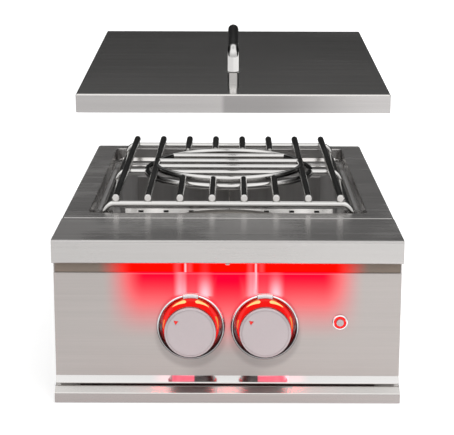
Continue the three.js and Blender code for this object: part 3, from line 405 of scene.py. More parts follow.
def place_of(tree):
    """Sideways and upward place on the object, in metres."""
    place = node(tree, "ShaderNodeTexCoord").outputs["Object"]
    parts = node(tree, "ShaderNodeSeparateXYZ", {0: place})
    return parts.outputs["X"], parts.outputs["Z"]


def metres(lengths):
    return [length * METRE for length in lengths]


def beside(tree, x, centre):
    """How far a place is to either side of a centre line."""
    return math_node(tree, "ABSOLUTE", math_node(tree, "SUBTRACT", x, centre * METRE))


WASH_CENTRE, WASH_FULL, WASH_SIDE = 7.5, 110, 164
WASH_TOP, WASH_FOOT, MIDDLE_FOOT, MIDDLE_TOP = 44, 134, 156, 52
KNOB_SIDES, SHADE_DEPTH, SHADE_EDGE, KNOB_SHADE = (-45.5, 46.5), 122, (41, 48), 0.8
BETWEEN_KNOBS, MIDDLE_REACH, BETWEEN_REACH = 0.5, (12, 45), (20, 70)
BETWEEN_TOP, BETWEEN_FOOT, BETWEEN_SHADE = 145, 120, 0.88
RIM_DEPTH, RIM_HALF, RIM_LIGHT = 45.2, (0.2, 1.0), 0.16
# Pale beams: place, half width, strength at the bezel and at the lens, and how far down.
BEAMS = ((-58.6, 9.5, 0.75, 0.4, 75), (-52.6, 4, 0.35, 0.1, 75), (-27.6, 12, 1.05, 0.12, 75),
         (29.6, 9, 0.55, 0.38, 75), (35, 4.5, 0.6, 0.3, 75), (60.1, 12, 1.05, 0.12, 75),
         (35.4, 1.6, 0.2, 0.7, 66), (-43, 26, 0.07, 0.05, 75), (45, 26, 0.07, 0.05, 75))


def streaks(tree, x, z, beams, top):
    """The sum of soft upright streaks of light, from each one's foot up to the top depth."""
    total = None
    for centre, half, at_foot, at_top, foot in beams:
        across = span(tree, beside(tree, x, centre), 0, half * METRE, 1, 0)
        along = span(tree, z, below(foot) * METRE, below(top) * METRE, at_foot, at_top)
        under = span(tree, z, below(foot) * METRE, below(foot - 2) * METRE)
        beam = math_node(tree, "MULTIPLY", math_node(tree, "MULTIPLY", across, along), under)
        total = beam if total is None else math_node(tree, "ADD", total, beam)
    return total


def lamp_wash_group():
    """Red light that falls off down and to both sides, pale beams above both bezels, and the
    soft shade under both knobs."""
    tree, given, out = new_group("lamp_wash", [
        ("Steel", "NodeSocketColor", (0.6, 0.6, 0.6, 1)),
        ("Red", "NodeSocketColor", (0.8, 0.001, 0.035, 1)),
        ("Beam", "NodeSocketColor", (0.3, 0.55, 0.6, 1)),
    ], [("Color", "NodeSocketColor"), ("Light", "NodeSocketColor")])
    x, z = place_of(tree)
    side = span(tree, beside(tree, x, WASH_CENTRE), WASH_FULL * METRE, WASH_SIDE * METRE, 1, 0)
    down = span(tree, z, below(WASH_FOOT) * METRE, below(WASH_TOP) * METRE)
    off_middle = beside(tree, x, BETWEEN_KNOBS)
    middle = math_node(
        tree, "MULTIPLY", span(tree, off_middle, *metres(MIDDLE_REACH), 1, 0),
        span(tree, z, below(MIDDLE_FOOT) * METRE, below(MIDDLE_TOP) * METRE))
    mask = math_node(tree, "MAXIMUM", math_node(tree, "MULTIPLY", side, down), middle)
    rest = math_node(tree, "SUBTRACT", 1.0, mask)
    tint = node(tree, "ShaderNodeCombineColor", {0: 1.0, 1: rest, 2: rest})
    colour = blend_colours(tree, 1.0, given.outputs["Steel"], tint.outputs[0], "MULTIPLY")
    shade = 1.0
    for knob in KNOB_SIDES:
        off_x = math_node(tree, "SUBTRACT", x, knob * METRE)
        off_z = math_node(tree, "SUBTRACT", z, below(SHADE_DEPTH) * METRE)
        out_by = math_node(tree, "SQRT", math_node(
            tree, "ADD", math_node(tree, "MULTIPLY", off_x, off_x),
            math_node(tree, "MULTIPLY", off_z, off_z)))
        shade = math_node(tree, "MULTIPLY", shade,
                          span(tree, out_by, *metres(SHADE_EDGE), KNOB_SHADE, 1))
    between = math_node(
        tree, "MULTIPLY", span(tree, off_middle, *metres(BETWEEN_REACH), 1, 0),
        span(tree, z, below(BETWEEN_FOOT) * METRE, below(BETWEEN_TOP) * METRE, 0, 1))
    shade = math_node(tree, "MULTIPLY", shade, span(tree, between, 0, 1, 1, BETWEEN_SHADE))
    tree.links.new(toned(tree, colour, shade), out.inputs["Color"])
    red = blend_colours(tree, mask, (0, 0, 0, 1), given.outputs["Red"])
    beams = streaks(tree, x, z, BEAMS, WASH_TOP)
    off_rim = beside(tree, z, below(RIM_DEPTH))
    rim = math_node(tree, "MULTIPLY", span(tree, off_rim, *metres(RIM_HALF), RIM_LIGHT, 0), mask)
    beams = math_node(tree, "ADD", beams, rim)
    light = blend_colours(tree, beams, red, given.outputs["Beam"], "ADD")
    tree.links.new(light, out.inputs["Light"])
    return tree


def foot_shade_group():
    """Polished metal that darkens downwards, as it mirrors the floor's shade below."""
    tree, given, out = new_group("foot_shade", [
        ("Metal", "NodeSocketColor", (0.8, 0.8, 0.8, 1)),
        ("Bright Above", "NodeSocketFloat", 0.1), ("Dark Below", "NodeSocketFloat", 0.06),
        ("Share Left", "NodeSocketFloat", 0.3),
    ], [("Color", "NodeSocketColor")])
    z = place_of(tree)[1]
    level = span(tree, z, given.outputs["Dark Below"], given.outputs["Bright Above"],
                 given.outputs["Share Left"], 1.0)
    tree.links.new(toned(tree, given.outputs["Metal"], level), out.inputs["Color"])
    return tree


# Red patches that the polished foot shows below the knobs: from, to, softness, strength.
FOOT_PATCHES = ((-70, -40, 2.5, 1.0), (37, 78, 2.5, 1.0), (-98, -40, 22, 0.3),
                (37, 106, 22, 0.3))
FOOT_GLOW_TOP, FOOT_GLOW_LOW = 182.5, 184.5


def foot_glow_group():
    """The dials' red light on the polished foot, under the outer half of each knob."""
    tree, given, out = new_group("foot_glow", [
        ("Glow", "NodeSocketColor", (0.9, 0.1, 0.17, 1)),
        ("Top", "NodeSocketFloat", 0.03), ("Foot", "NodeSocketFloat", 0.02),
    ], [("Light", "NodeSocketColor")])
    x, z = place_of(tree)
    total = 0.0
    for start, end, soft, strength in FOOT_PATCHES:
        left = span(tree, x, start * METRE, (start + soft) * METRE)
        right = span(tree, x, (end - soft) * METRE, end * METRE, strength, 0)
        total = math_node(tree, "ADD", total, math_node(tree, "MULTIPLY", left, right))
    upper = span(tree, z, given.outputs["Foot"], given.outputs["Top"])
    tree.links.new(blend_colours(tree, math_node(tree, "MULTIPLY", total, upper, True),
                                 (0, 0, 0, 1), given.outputs["Glow"]), out.inputs["Light"])
    return tree


# Where the lid's painted reflection steps darker and how soft the step is, then where its ramp
# from darkest to brightest starts and ends.
LID_STEP, LID_STEP_HALF, LID_DARK, LID_RIGHT = -7, 4, 45, 205


def lid_painted_reflection_group():
    """Steel of the lid's front edge, painted darker right of the middle and brighter to its end: a
    painted reflection.
    """
    tree, given, out = new_group("lid_painted_reflection", [
        ("Metal", "NodeSocketColor", (0.8, 0.8, 0.8, 1)), ("Shaded", "NodeSocketFloat", 0.68),
        ("Bright", "NodeSocketFloat", 1.08),
    ], [("Color", "NodeSocketColor")])
    x = place_of(tree)[0]
    right = span(tree, x, LID_DARK * METRE, LID_RIGHT * METRE, given.outputs["Shaded"],
                 given.outputs["Bright"])
    step = span(tree, x, (LID_STEP - LID_STEP_HALF) * METRE, (LID_STEP + LID_STEP_HALF) * METRE)
    level = node(tree, "ShaderNodeMix", {0: step, 2: 1.0, 3: right}).outputs[0]
    tree.links.new(toned(tree, given.outputs["Metal"], level), out.inputs["Color"])
    return tree


def ring_dark_reflection_group():
    """Rod steel painted darker away from the ring's middle: a painted dark reflection on its left
    and right.
    """
    tree, given, out = new_group("ring_dark_reflection", [
        ("Metal", "NodeSocketColor", (0.8, 0.8, 0.8, 1)),
        ("Clear Half", "NodeSocketFloat", 0.036), ("Dark Half", "NodeSocketFloat", 0.066),
        ("Share Left", "NodeSocketFloat", 0.16),
    ], [("Color", "NodeSocketColor")])
    half = math_node(tree, "ABSOLUTE", place_of(tree)[0])
    level = span(tree, half, given.outputs["Clear Half"], given.outputs["Dark Half"], 1.0,
                 given.outputs["Share Left"])
    tree.links.new(toned(tree, given.outputs["Metal"], level), out.inputs["Color"])
    return tree


FOOT_GLOW = foot_glow_group()
FOOT_SHADE = foot_shade_group()
LID_PAINTED_REFLECTION = lid_painted_reflection_group()
RING_DARK_REFLECTION = ring_dark_reflection_group()
BRUSHING = brushing_group()
HANDLING = handling_group()
GRAIN = grain_group()
LAMP_WASH = lamp_wash_group()


def effect(tree, group, inputs):
    """One use of a shared group in a material."""
    made = tree.nodes.new("ShaderNodeGroup")
    made.node_tree = group
    for key, value in inputs.items():
        if isinstance(value, bpy.types.NodeSocket):
            tree.links.new(value, made.inputs[key])
        else:
            made.inputs[key].default_value = value
    return made


def new_material(name, metallic=0.0, **settings):
    """A material with its Principled shader, whose uniform values are set on its sockets."""
    material = bpy.data.materials.new(name)
    material.use_nodes = True
    tree = material.node_tree
    shader = tree.nodes["Principled BSDF"]
    shader.inputs["Metallic"].default_value = metallic
    for key, value in settings.items():
        shader.inputs[key.replace("_", " ")].default_value = value
    return material, tree, shader


def bumped(tree, shader, height, strength, distance):
    made = node(tree, "ShaderNodeBump", {"Height": height, "Strength": strength,
                                         "Distance": distance})
    tree.links.new(made.outputs["Normal"], shader.inputs["Normal"])


def steel(name, colour, stretch, line_strength, roughness, anisotropic=0.0, axis="X",
          cloud=0.05, metallic=1.0, bump=0.05):
    """Steel with brush lines, wipe marks, and highlights spread across the lines."""
    material, tree, shader = new_material(name, metallic, Anisotropic=anisotropic)
    lines = effect(tree, BRUSHING, {"Steel": (*colour, 1), "Line Stretch": stretch,
                                    "Line Strength": line_strength, "Roughness": roughness})
    wipe = effect(tree, HANDLING, {"Cloud Size": 7.0, "Strength": cloud})
    rough = math_node(tree, "ADD", lines.outputs["Roughness"], wipe.outputs["Roughness Lift"])
    tree.links.new(lines.outputs["Color"], shader.inputs["Base Color"])
    tree.links.new(rough, shader.inputs["Roughness"])
    if anisotropic:
        way = node(tree, "ShaderNodeTangent", direction_type="RADIAL", axis=axis)
        tree.links.new(way.outputs[0], shader.inputs["Tangent"])
    if bump:
        bumped(tree, shader, lines.outputs["Height"], bump, 0.0002)
    return material


def lamplit_steel(name, colour, stretch, line_strength, roughness, anisotropic):
    """Brushed steel that the red light bar and the lit dials wash with their light."""
    material = steel(name, colour, stretch, line_strength, roughness, anisotropic)
    tree = material.node_tree
    shader = tree.nodes["Principled BSDF"]
    own = shader.inputs["Base Color"].links[0].from_socket
    wash = effect(tree, LAMP_WASH, {"Steel": own})
    tree.links.new(wash.outputs["Color"], shader.inputs["Base Color"])
    tree.links.new(wash.outputs["Light"], shader.inputs["Emission Color"])
    shader.inputs["Emission Strength"].default_value = 1.0
    return material


def recoloured(material, group, settings=()):
    """Passes a metal's colour through a group that has a Metal input and a Color output."""
    tree = material.node_tree
    shader = tree.nodes["Principled BSDF"]
    own = shader.inputs["Base Color"].links[0].from_socket
    made = effect(tree, group, {"Metal": own, **dict(settings)})
    tree.links.new(made.outputs["Color"], shader.inputs["Base Color"])
    return material


def glowing(material, group, settings):
    """Adds a group's light to a material."""
    tree = material.node_tree
    shader = tree.nodes["Principled BSDF"]
    made = effect(tree, group, settings)
    tree.links.new(made.outputs["Light"], shader.inputs["Emission Color"])
    shader.inputs["Emission Strength"].default_value = 1.0
    return material


def grained(name, colour, roughness, metallic=0.0, size=700.0, variation=0.1, bump=0.1,
            **settings):
    """An even cast, painted or fired surface."""
    material, tree, shader = new_material(name, metallic, Roughness=roughness, **settings)
    grain = effect(tree, GRAIN, {"Base": (*colour, 1), "Grain Size": size,
                                 "Variation": variation})
    tree.links.new(grain.outputs["Color"], shader.inputs["Base Color"])
    bumped(tree, shader, grain.outputs["Height"], bump, 0.0003)
    return material


# How a finish's lines are stretched: small along the lines, large across them.
ACROSS_X, ALONG_Y = (7, 760, 760), (900, 7, 900)
ROLLED_X, ROD_LINES = (12, 500, 500), (500, 30, 500)
FINE, FINER = (200, 200, 200), (420, 420, 420)
POLISHED_ROD, CHROME = (0.64, 0.63, 0.615), (0.86, 0.86, 0.87)
# Depths below the deck top where the bezel chrome's painted shade begins and is full, and the
# share of brightness left.
BEZEL_BRIGHT, BEZEL_DARK, BEZEL_LEFT = 86, 128, 0.35
# Half widths where the hoop's painted dark reflection begins and where it is full.
HOOP_CLEAR, HOOP_DARK = 70, 100
brushed = steel("brushed_stainless", (0.5, 0.485, 0.475), ACROSS_X, 0.16, 0.25, 0.75)
lid_steel = steel("brushed_stainless_lid", (0.41, 0.395, 0.39), ACROSS_X, 0.2, 0.16, 0.7,
                  cloud=0.03)
# The lid's sheet is painted darker right of the middle and brighter to its right end: a painted
# reflection.
recoloured(lid_steel, LID_PAINTED_REFLECTION)
lid_top_steel = steel("brushed_stainless_lid_top", (0.86, 0.84, 0.82), ACROSS_X, 0.2, 0.09,
                      0.6, cloud=0.02, metallic=0.96)
tray_steel = steel("brushed_stainless_tray", (0.385, 0.36, 0.35), ACROSS_X, 0.1, 0.18, 0.6,
                   cloud=0.03)
panel_steel = lamplit_steel("brushed_stainless_panel", (0.43, 0.4, 0.385), ACROSS_X, 0.14, 0.3,
                            0.7)
polished = steel("polished_stainless", (0.72, 0.71, 0.7), ROLLED_X, 0.03, 0.05, 0.3,
                 cloud=0.03, bump=0.02)
# Brighter steel for upward-facing strips, hems and rounded edges: they catch real light from their
# tilt, and the lighter colour is a painted highlight.
upward_highlight_steel = steel("stainless_upward_highlight", (0.68, 0.66, 0.64), ROLLED_X, 0.08, 0.2, 0.3, bump=0.02)
foot_steel = steel("polished_foot", (0.68, 0.67, 0.66), ROLLED_X, 0.03, 0.05, 0.3,
                   cloud=0.03, bump=0.02)
glowing(foot_steel, FOOT_GLOW, {"Top": below(FOOT_GLOW_TOP) * METRE,
                                "Foot": below(FOOT_GLOW_LOW) * METRE})
handle_steel = steel("polished_handle", (0.58, 0.57, 0.56), ALONG_Y, 0.04, 0.12, bump=0.02)
rod_steel = steel("drawn_rod", POLISHED_ROD, ROD_LINES, 0.06, 0.13, bump=0.02)
# The hoop and the lift-out ring are painted darker at their left and right: a painted dark
# reflection.
hoop_steel = recoloured(
    steel("hoop_painted_dark_reflection", POLISHED_ROD, ROD_LINES, 0.06, 0.13, bump=0.02), RING_DARK_REFLECTION,
    {"Clear Half": HOOP_CLEAR * METRE, "Dark Half": HOOP_DARK * METRE})
ring_steel = recoloured(
    steel("ring_painted_dark_reflection", POLISHED_ROD, ROD_LINES, 0.06, 0.13, bump=0.02), RING_DARK_REFLECTION)
# A brighter copy of the rod steel for the rods' front end faces: painted highlight.
rod_end_highlight_steel = steel("rod_end_painted_highlight", (0.93, 0.91, 0.89), FINE, 0.08, 0.3, cloud=0.03, bump=0.03)
plain = steel("plain_sheet", (0.42, 0.41, 0.4), (60, 200, 200), 0.12, 0.42, bump=0.04)
tub_steel = steel("tub_sheet", (0.52, 0.51, 0.505), (160, 160, 9), 0.16, 0.45, metallic=0.7,
                  bump=0.04)
deflector_steel = steel("deflector_sheet", (0.33, 0.32, 0.315), (90, 90, 6), 0.4, 0.42,
                        metallic=0.93, bump=0.04)
burner_iron = steel("burner_iron", (0.26, 0.24, 0.22), (160, 160, 160), 0.2, 0.45, bump=0.04)
chrome = steel("bright_chrome", CHROME, FINE, 0.02, 0.05, cloud=0.03, bump=0)
# The bezel chrome is painted darker towards its bottom: a painted reflection of shade.
bezel_chrome = recoloured(
    steel("bezel_chrome", CHROME, FINE, 0.02, 0.05, cloud=0.03, bump=0), FOOT_SHADE,
    {"Bright Above": below(BEZEL_BRIGHT) * METRE, "Dark Below": below(BEZEL_DARK) * METRE,
     "Share Left": BEZEL_LEFT})
# A darker copy of the chrome for the bezels' inner slopes round the knobs: painted shade.
chrome_painted_shade = steel("chrome_painted_shade", (0.42, 0.4, 0.41), (90, 90, 90), 0.9, 0.1, cloud=0.03,
                      bump=0.05)
tab_steel = steel("bright_satin", (0.8, 0.79, 0.79), FINER, 0.05, 0.3, bump=0.02)
satin = steel("satin_silver", (0.5, 0.445, 0.455), FINER, 0.06, 0.36, metallic=0.8, bump=0.02)
# A darker copy of the knob's satin for the knob's flank: painted shade.
knob_flank = steel("knob_flank", (0.24, 0.23, 0.23), FINER, 0.06, 0.3, bump=0.02)
brass = grained("machined_brass", (0.58, 0.44, 0.18), 0.34, 1.0, size=900.0)
ceramic = grained("glazed_ceramic", (0.82, 0.79, 0.72), 0.28, size=500.0, variation=0.05)


# Painted reflections as bright streaks on the lens: place, half width, strength at foot and top,
# how far down.
LENS_STREAKS = ((-52, 2.2, 1.0, 1.0, 48), (-47, 6, 0.12, 0.1, 48), (-62, 7, 0.12, 0.1, 48),
                (35, 2.2, 1.0, 1.0, 48), (28, 6, 0.12, 0.1, 48), (42, 6, 0.1, 0.1, 48),
                (-28, 9, 0.04, 0.03, 48))


def lit_red(name, strength, half_lit=None, fade=None):
    """Red translucent plastic lit from behind, brightest over its middle part."""
    material, tree, shader = new_material(name, 0.0, Roughness=0.25,
                                          Specular_IOR_Level=0.0 if half_lit else 0.4)
    grain = effect(tree, GRAIN, {"Base": (0.2, 0.001, 0.0005, 1), "Grain Size": 400.0,
                                 "Variation": 0.1})
    place = node(tree, "ShaderNodeTexCoord").outputs["Object"]
    glow = noise(tree, place, 60.0, 1.0)
    light = blend_colours(tree, glow, (1.0, 0.002, 0.0, 1), (1.0, 0.004, 0.001, 1))
    base = grain.outputs["Color"]
    if half_lit:
        out = beside(tree, place_of(tree)[0], WASH_CENTRE)
        mask = span(tree, out, half_lit * METRE, (half_lit + fade) * METRE, 1.0, 0.0)
        base = blend_colours(tree, mask, (0.3, 0.25, 0.21, 1), base)
        light = blend_colours(tree, mask, (0.0, 0.0, 0.0, 1), light)
        # Pale streaks added to the lens's light: painted reflections.
        hot = streaks(tree, *place_of(tree), LENS_STREAKS, SHELF_FACE)
        light = blend_colours(tree, hot, light, (0.3, 0.6, 0.66, 1), "ADD")
    tree.links.new(base, shader.inputs["Base Color"])
    tree.links.new(light, shader.inputs["Emission Color"])
    shader.inputs["Emission Strength"].default_value = strength
    return material


lens_red = lit_red("lit_lens", 1.0, half_lit=124, fade=46)
dial_red = lit_red("lit_dial", 0.8)
# The red pointer marks' paint also glows a little: painted light.
mark_red = grained("red_paint", (0.8, 0.02, 0.015), 0.45, size=800.0, Emission_Strength=0.25,
                   Emission_Color=(0.9, 0.02, 0.01, 1))
dial_cream = grained("lit_cream_marks", (0.85, 0.6, 0.25), 0.4, size=600.0,
                     Emission_Strength=0.7, Emission_Color=(1.0, 0.62, 0.2, 1))
dial_amber = grained("dim_amber_marks", (0.6, 0.3, 0.08), 0.4, size=600.0,
                     Emission_Strength=0.45, Emission_Color=(1.0, 0.36, 0.06, 1))

# ---------------------------------------------------------------- carried-over CAD nodes
CAD_FINISHES = {
    "housing_shell": plain, "housing_floor": plain, "burner_tub": tub_steel,
    "rear_deflector": deflector_steel, "burner_bracket_front": plain, "burner_bracket_rear": plain,
    "outer_venturi": plain, "inner_venturi": plain, "gas_manifold": plain,
    "left_valve": brass, "right_valve": brass, "left_plug": brass, "right_plug": brass,
    "left_stem": plain, "right_stem": plain, "heat_shield": plain, "light_bar": plain,
    "light_bar_screw": plain, "igniter_bracket": plain, "lid_screw_front": plain,
    "lid_screw_rear": plain, "switch_nut": brass, "grate_rest_left_front": brushed,
    "grate_rest_left_rear": brushed, "grate_rest_right_front": brushed,
    "grate_rest_right_rear": brushed, "left_knob_mark": mark_red, "right_knob_mark": mark_red,
    "light_lens": lens_red,
}
for name, material in CAD_FINISHES.items():
    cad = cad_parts[name]
    for held in cad.material_slots:
        held.material = material
    weld = cad.modifiers.new("weld", "WELD")
    weld.merge_threshold = 1e-6


# ---------------------------------------------------------------- deck
SHELF_DEPTH, SHELF_RETURN, SHELF_BACK_FOLD, SHELF_END = 121, 9, 5, 40
SCREW_SETBACK, SCREW_HOLE = 6, 1.9


def front_shelf():
    line = [(behind(SHELF_DEPTH - HALF_SHEET), below(SHELF_BACK_FOLD)),
            (behind(SHELF_DEPTH - HALF_SHEET), below(HALF_SHEET)),
            (behind(HALF_SHEET), below(HALF_SHEET)),
            (behind(HALF_SHEET), below(SHELF_FACE - HALF_SHEET)),
            (behind(SHELF_RETURN), below(SHELF_FACE - HALF_SHEET))]
    ends = end_plates(line, HALF_WIDTH, closing=[(behind(SHELF_END),
                                                  below(SHELF_FACE - HALF_SHEET))])
    made = bare("shelf_sheet", run_x(folded(line), -HALF_WIDTH, HALF_WIDTH))
    carve(made, turned([(0, below(SHELF_FACE + SHEET)), (SCREW_HOLE, below(SHELF_FACE + SHEET)),
                        (SCREW_HOLE, below(SHELF_FACE - 2 * SHEET)),
                        (0, below(SHELF_FACE - 2 * SHEET))],
                       Vector((0, behind(SCREW_SETBACK), 0)), "Z", 24))
    finished(made, brushed, "housing", ["front_shelf"], edge=0.2)
    finished(bare("shelf_ends", ends), brushed, "housing", (), edge=0.2)


OPENING = (-184, 184, behind(150), behind(617))
OPENING_CORNER, OPENING_WALL, OPENING_HEM, DECK_CORNER, DECK_RIM = 10, 21, 4, 5, 6
EDGE_ROUND = 1.4
REAR_HEM_HALF = 174
REAR_HEMS = ((616.8, 15.2, 614.0, 20.3), (614.9, 24.4, 612.4, 28.8))  # setback, depth, twice


def ring_loop(rect, corner, grow, depth):
    x0, x1, y0, y1 = rect
    return plan_loop(x0 - grow, x1 + grow, y0 - grow, y1 + grow, corner + grow, below(depth), 10)


def rounding(low, high, steps=5):
    """Quarter-round offsets: (inset, depth) from a side face up on to a top face."""
    return [(low * (1 - math.cos(a)), high * (1 - math.sin(a)))
            for a in (math.pi / 2 * k / steps for k in range(steps + 1))]


def deck_frame():
    outer = (-HALF_WIDTH, HALF_WIDTH, behind(SHELF_DEPTH + GAP), DECK_BACK)
    loops = [ring_loop(outer, DECK_CORNER, 0, DECK_RIM)]
    loops += [ring_loop(outer, DECK_CORNER, -inset, depth)
              for inset, depth in rounding(EDGE_ROUND, EDGE_ROUND)]
    loops += [ring_loop(OPENING, OPENING_CORNER, inset, depth)
              for inset, depth in rounding(EDGE_ROUND, EDGE_ROUND)[::-1]]
    hem_top = OPENING_WALL - OPENING_HEM
    loops += [ring_loop(OPENING, OPENING_CORNER, 0, hem_top)]
    loops += [ring_loop(OPENING, OPENING_CORNER, -grow, depth) for grow, depth in (
        (0.9, hem_top + 0.1), (SHEET, hem_top + 0.8), (SHEET, OPENING_WALL - 0.8),
        (0.9, OPENING_WALL))]
    loops += [ring_loop(OPENING, OPENING_CORNER, SHEET, depth) for depth in (OPENING_WALL, SHEET)]
    loops += [ring_loop(outer, DECK_CORNER, -SHEET, depth) for depth in (SHEET, DECK_RIM)]
    made = bare("deck_ring", lofted(loops, closed=True))
    finished(made, brushed, "housing", ["deck_frame"])
    hems = [run_x(folded([(behind(y0), below(top)), (behind(y1), below(foot))],
                         thickness=THIN_SHEET),
                  -REAR_HEM_HALF, REAR_HEM_HALF) for y0, top, y1, foot in REAR_HEMS]
    # The rear hems take the brighter steel with its painted highlight.
    finished(bare("opening_rear_hems", together(*hems)), upward_highlight_steel, "housing", ())


# ---------------------------------------------------------------- control panel
PANEL_HALF = HALF_WIDTH - 1
PANEL_BEND = 0.8
PANEL_FACE = 12.75
PANEL_TOP_LINE, PANEL_FOOT, PANEL_SLANT_FOOT, PANEL_SLANT_FRONT = 44.35, 177.8, 185.5, 4.7
PANEL_TOP_BACK, PANEL_FOOT_BACK, HOUSING_FRONT = 36, 24.4, 41
KNOB_HOLE, BUTTON_HOLE, HOLE_FROM, HOLE_TO = 6, 8.3, 8, 17
LEFT_KNOB, RIGHT_KNOB = centre_of("left_knob"), centre_of("right_knob")
BUTTON = centre_of("switch_cap")


def hole_y(centre, radius, y0, y1, steps=48):
    """A round cutter that runs from front to back."""
    return turned([(0, y0), (radius, y0), (radius, y1), (0, y1)], centre, "Y", steps)


def control_panel():
    foot = [(behind(PANEL_FACE), below(PANEL_FOOT)),
            (behind(PANEL_SLANT_FRONT), below(PANEL_SLANT_FOOT)),
            (behind(PANEL_FOOT_BACK), below(PANEL_SLANT_FOOT + HALF_SHEET))]
    top = [(behind(PANEL_TOP_BACK), below(PANEL_TOP_LINE)),
           (behind(PANEL_FACE), below(PANEL_TOP_LINE))]
    made = bare("panel_sheet", run_x(folded(top + foot, PANEL_BEND), -PANEL_HALF, PANEL_HALF))
    for centre, radius in ((LEFT_KNOB, KNOB_HOLE), (RIGHT_KNOB, KNOB_HOLE),
                           (BUTTON, BUTTON_HOLE)):
        carve(made, hole_y(centre, radius, behind(HOLE_FROM), behind(HOLE_TO)))
    finished(made, panel_steel, "housing", ["control_panel"], edge=0.15)
    made.data.materials.append(foot_steel)
    for face in made.data.polygons:
        if face.center.z < below(PANEL_FOOT) * METRE:
            face.material_index = 1
    flange = behind(HOUSING_FRONT - GAP - HALF_SHEET)
    ends = end_plates([(behind(PANEL_FACE), below(SHELF_FACE + GAP))] + foot, PANEL_HALF,
                      PANEL_BEND, [(flange, below(PANEL_SLANT_FOOT + HALF_SHEET)),
                                   (flange, below(SHELF_FACE + GAP))])
    finished(bare("panel_ends", ends), panel_steel, "housing", (), edge=0.15)


# ---------------------------------------------------------------- drip tray
TRAY_BEND, UPWARD = 1.5, 0.3
PAN_HALF, PAN_FRONT, PAN_BACK, PAN_CORNER = 186, 10.5, 600, 3


def drip_tray():
    lip = [(behind(4), 1.25), (behind(-7.25), 1.25), (behind(-7.25), 12.9),
           (behind(1), 19.0), (behind(11.25), 19.0), (behind(11.25), 1.8)]
    made = bare("tray_lip", run_x(folded(lip, TRAY_BEND), -PANEL_HALF, PANEL_HALF))
    finished(made, tray_steel, "drip_tray", ["drip_tray"], edge=0.15)
    # Upward-facing faces of the lip take the brighter steel: a painted highlight.
    made.data.materials.append(upward_highlight_steel)
    for face in made.data.polygons:
        if face.normal.z > UPWARD:
            face.material_index = 1
    finished(bare("tray_lip_ends", end_plates(lip, PANEL_HALF, TRAY_BEND)), tray_steel,
             "drip_tray", (), edge=0.15)

    def loop(inset, height):
        return plan_loop(inset - PAN_HALF, PAN_HALF - inset, behind(PAN_FRONT) + inset,
                         behind(PAN_BACK) - inset, PAN_CORNER - inset, height)
    pan = lofted([loop(0, 16.8), loop(0, 3.0), loop(0.4, 2.1), loop(1.2, 1.8)])
    made = bare("tray_pan", pan)
    carve(made, lofted([loop(SHEET, 20), loop(SHEET, 4.2), loop(SHEET + 0.3, 3.5),
                        loop(SHEET + 1, 3.3)]))
    finished(made, plain, "drip_tray", ())


# ---------------------------------------------------------------- knobs
BEZEL_SLOPE = 38.9
TAB_REACH, TAB_NOTCH_HALF, TAB_HALF = 47, 14, 13.5
POINTER_SIZE, POINTER_RADIUS, STEM_HOLE, FACE_EDGE = 3.1, 22, 4.3, -19.5


def tab_wedge(axis, half_angle, front, back):
    """An upward wedge from the knob's axis, as wide as the tab or its notch."""
    half = TAB_REACH * math.tan(math.radians(half_angle))
    return run_y([(axis.x, axis.z), (axis.x + half, axis.z + TAB_REACH),
                  (axis.x - half, axis.z + TAB_REACH)], behind(front), behind(back))


def about(profile, axis, steps):
    """Turns a (radius, distance behind the front) profile about a front-to-back axis."""
    return turned([(radius, behind(distance)) for radius, distance in profile], axis,
                  steps=steps)


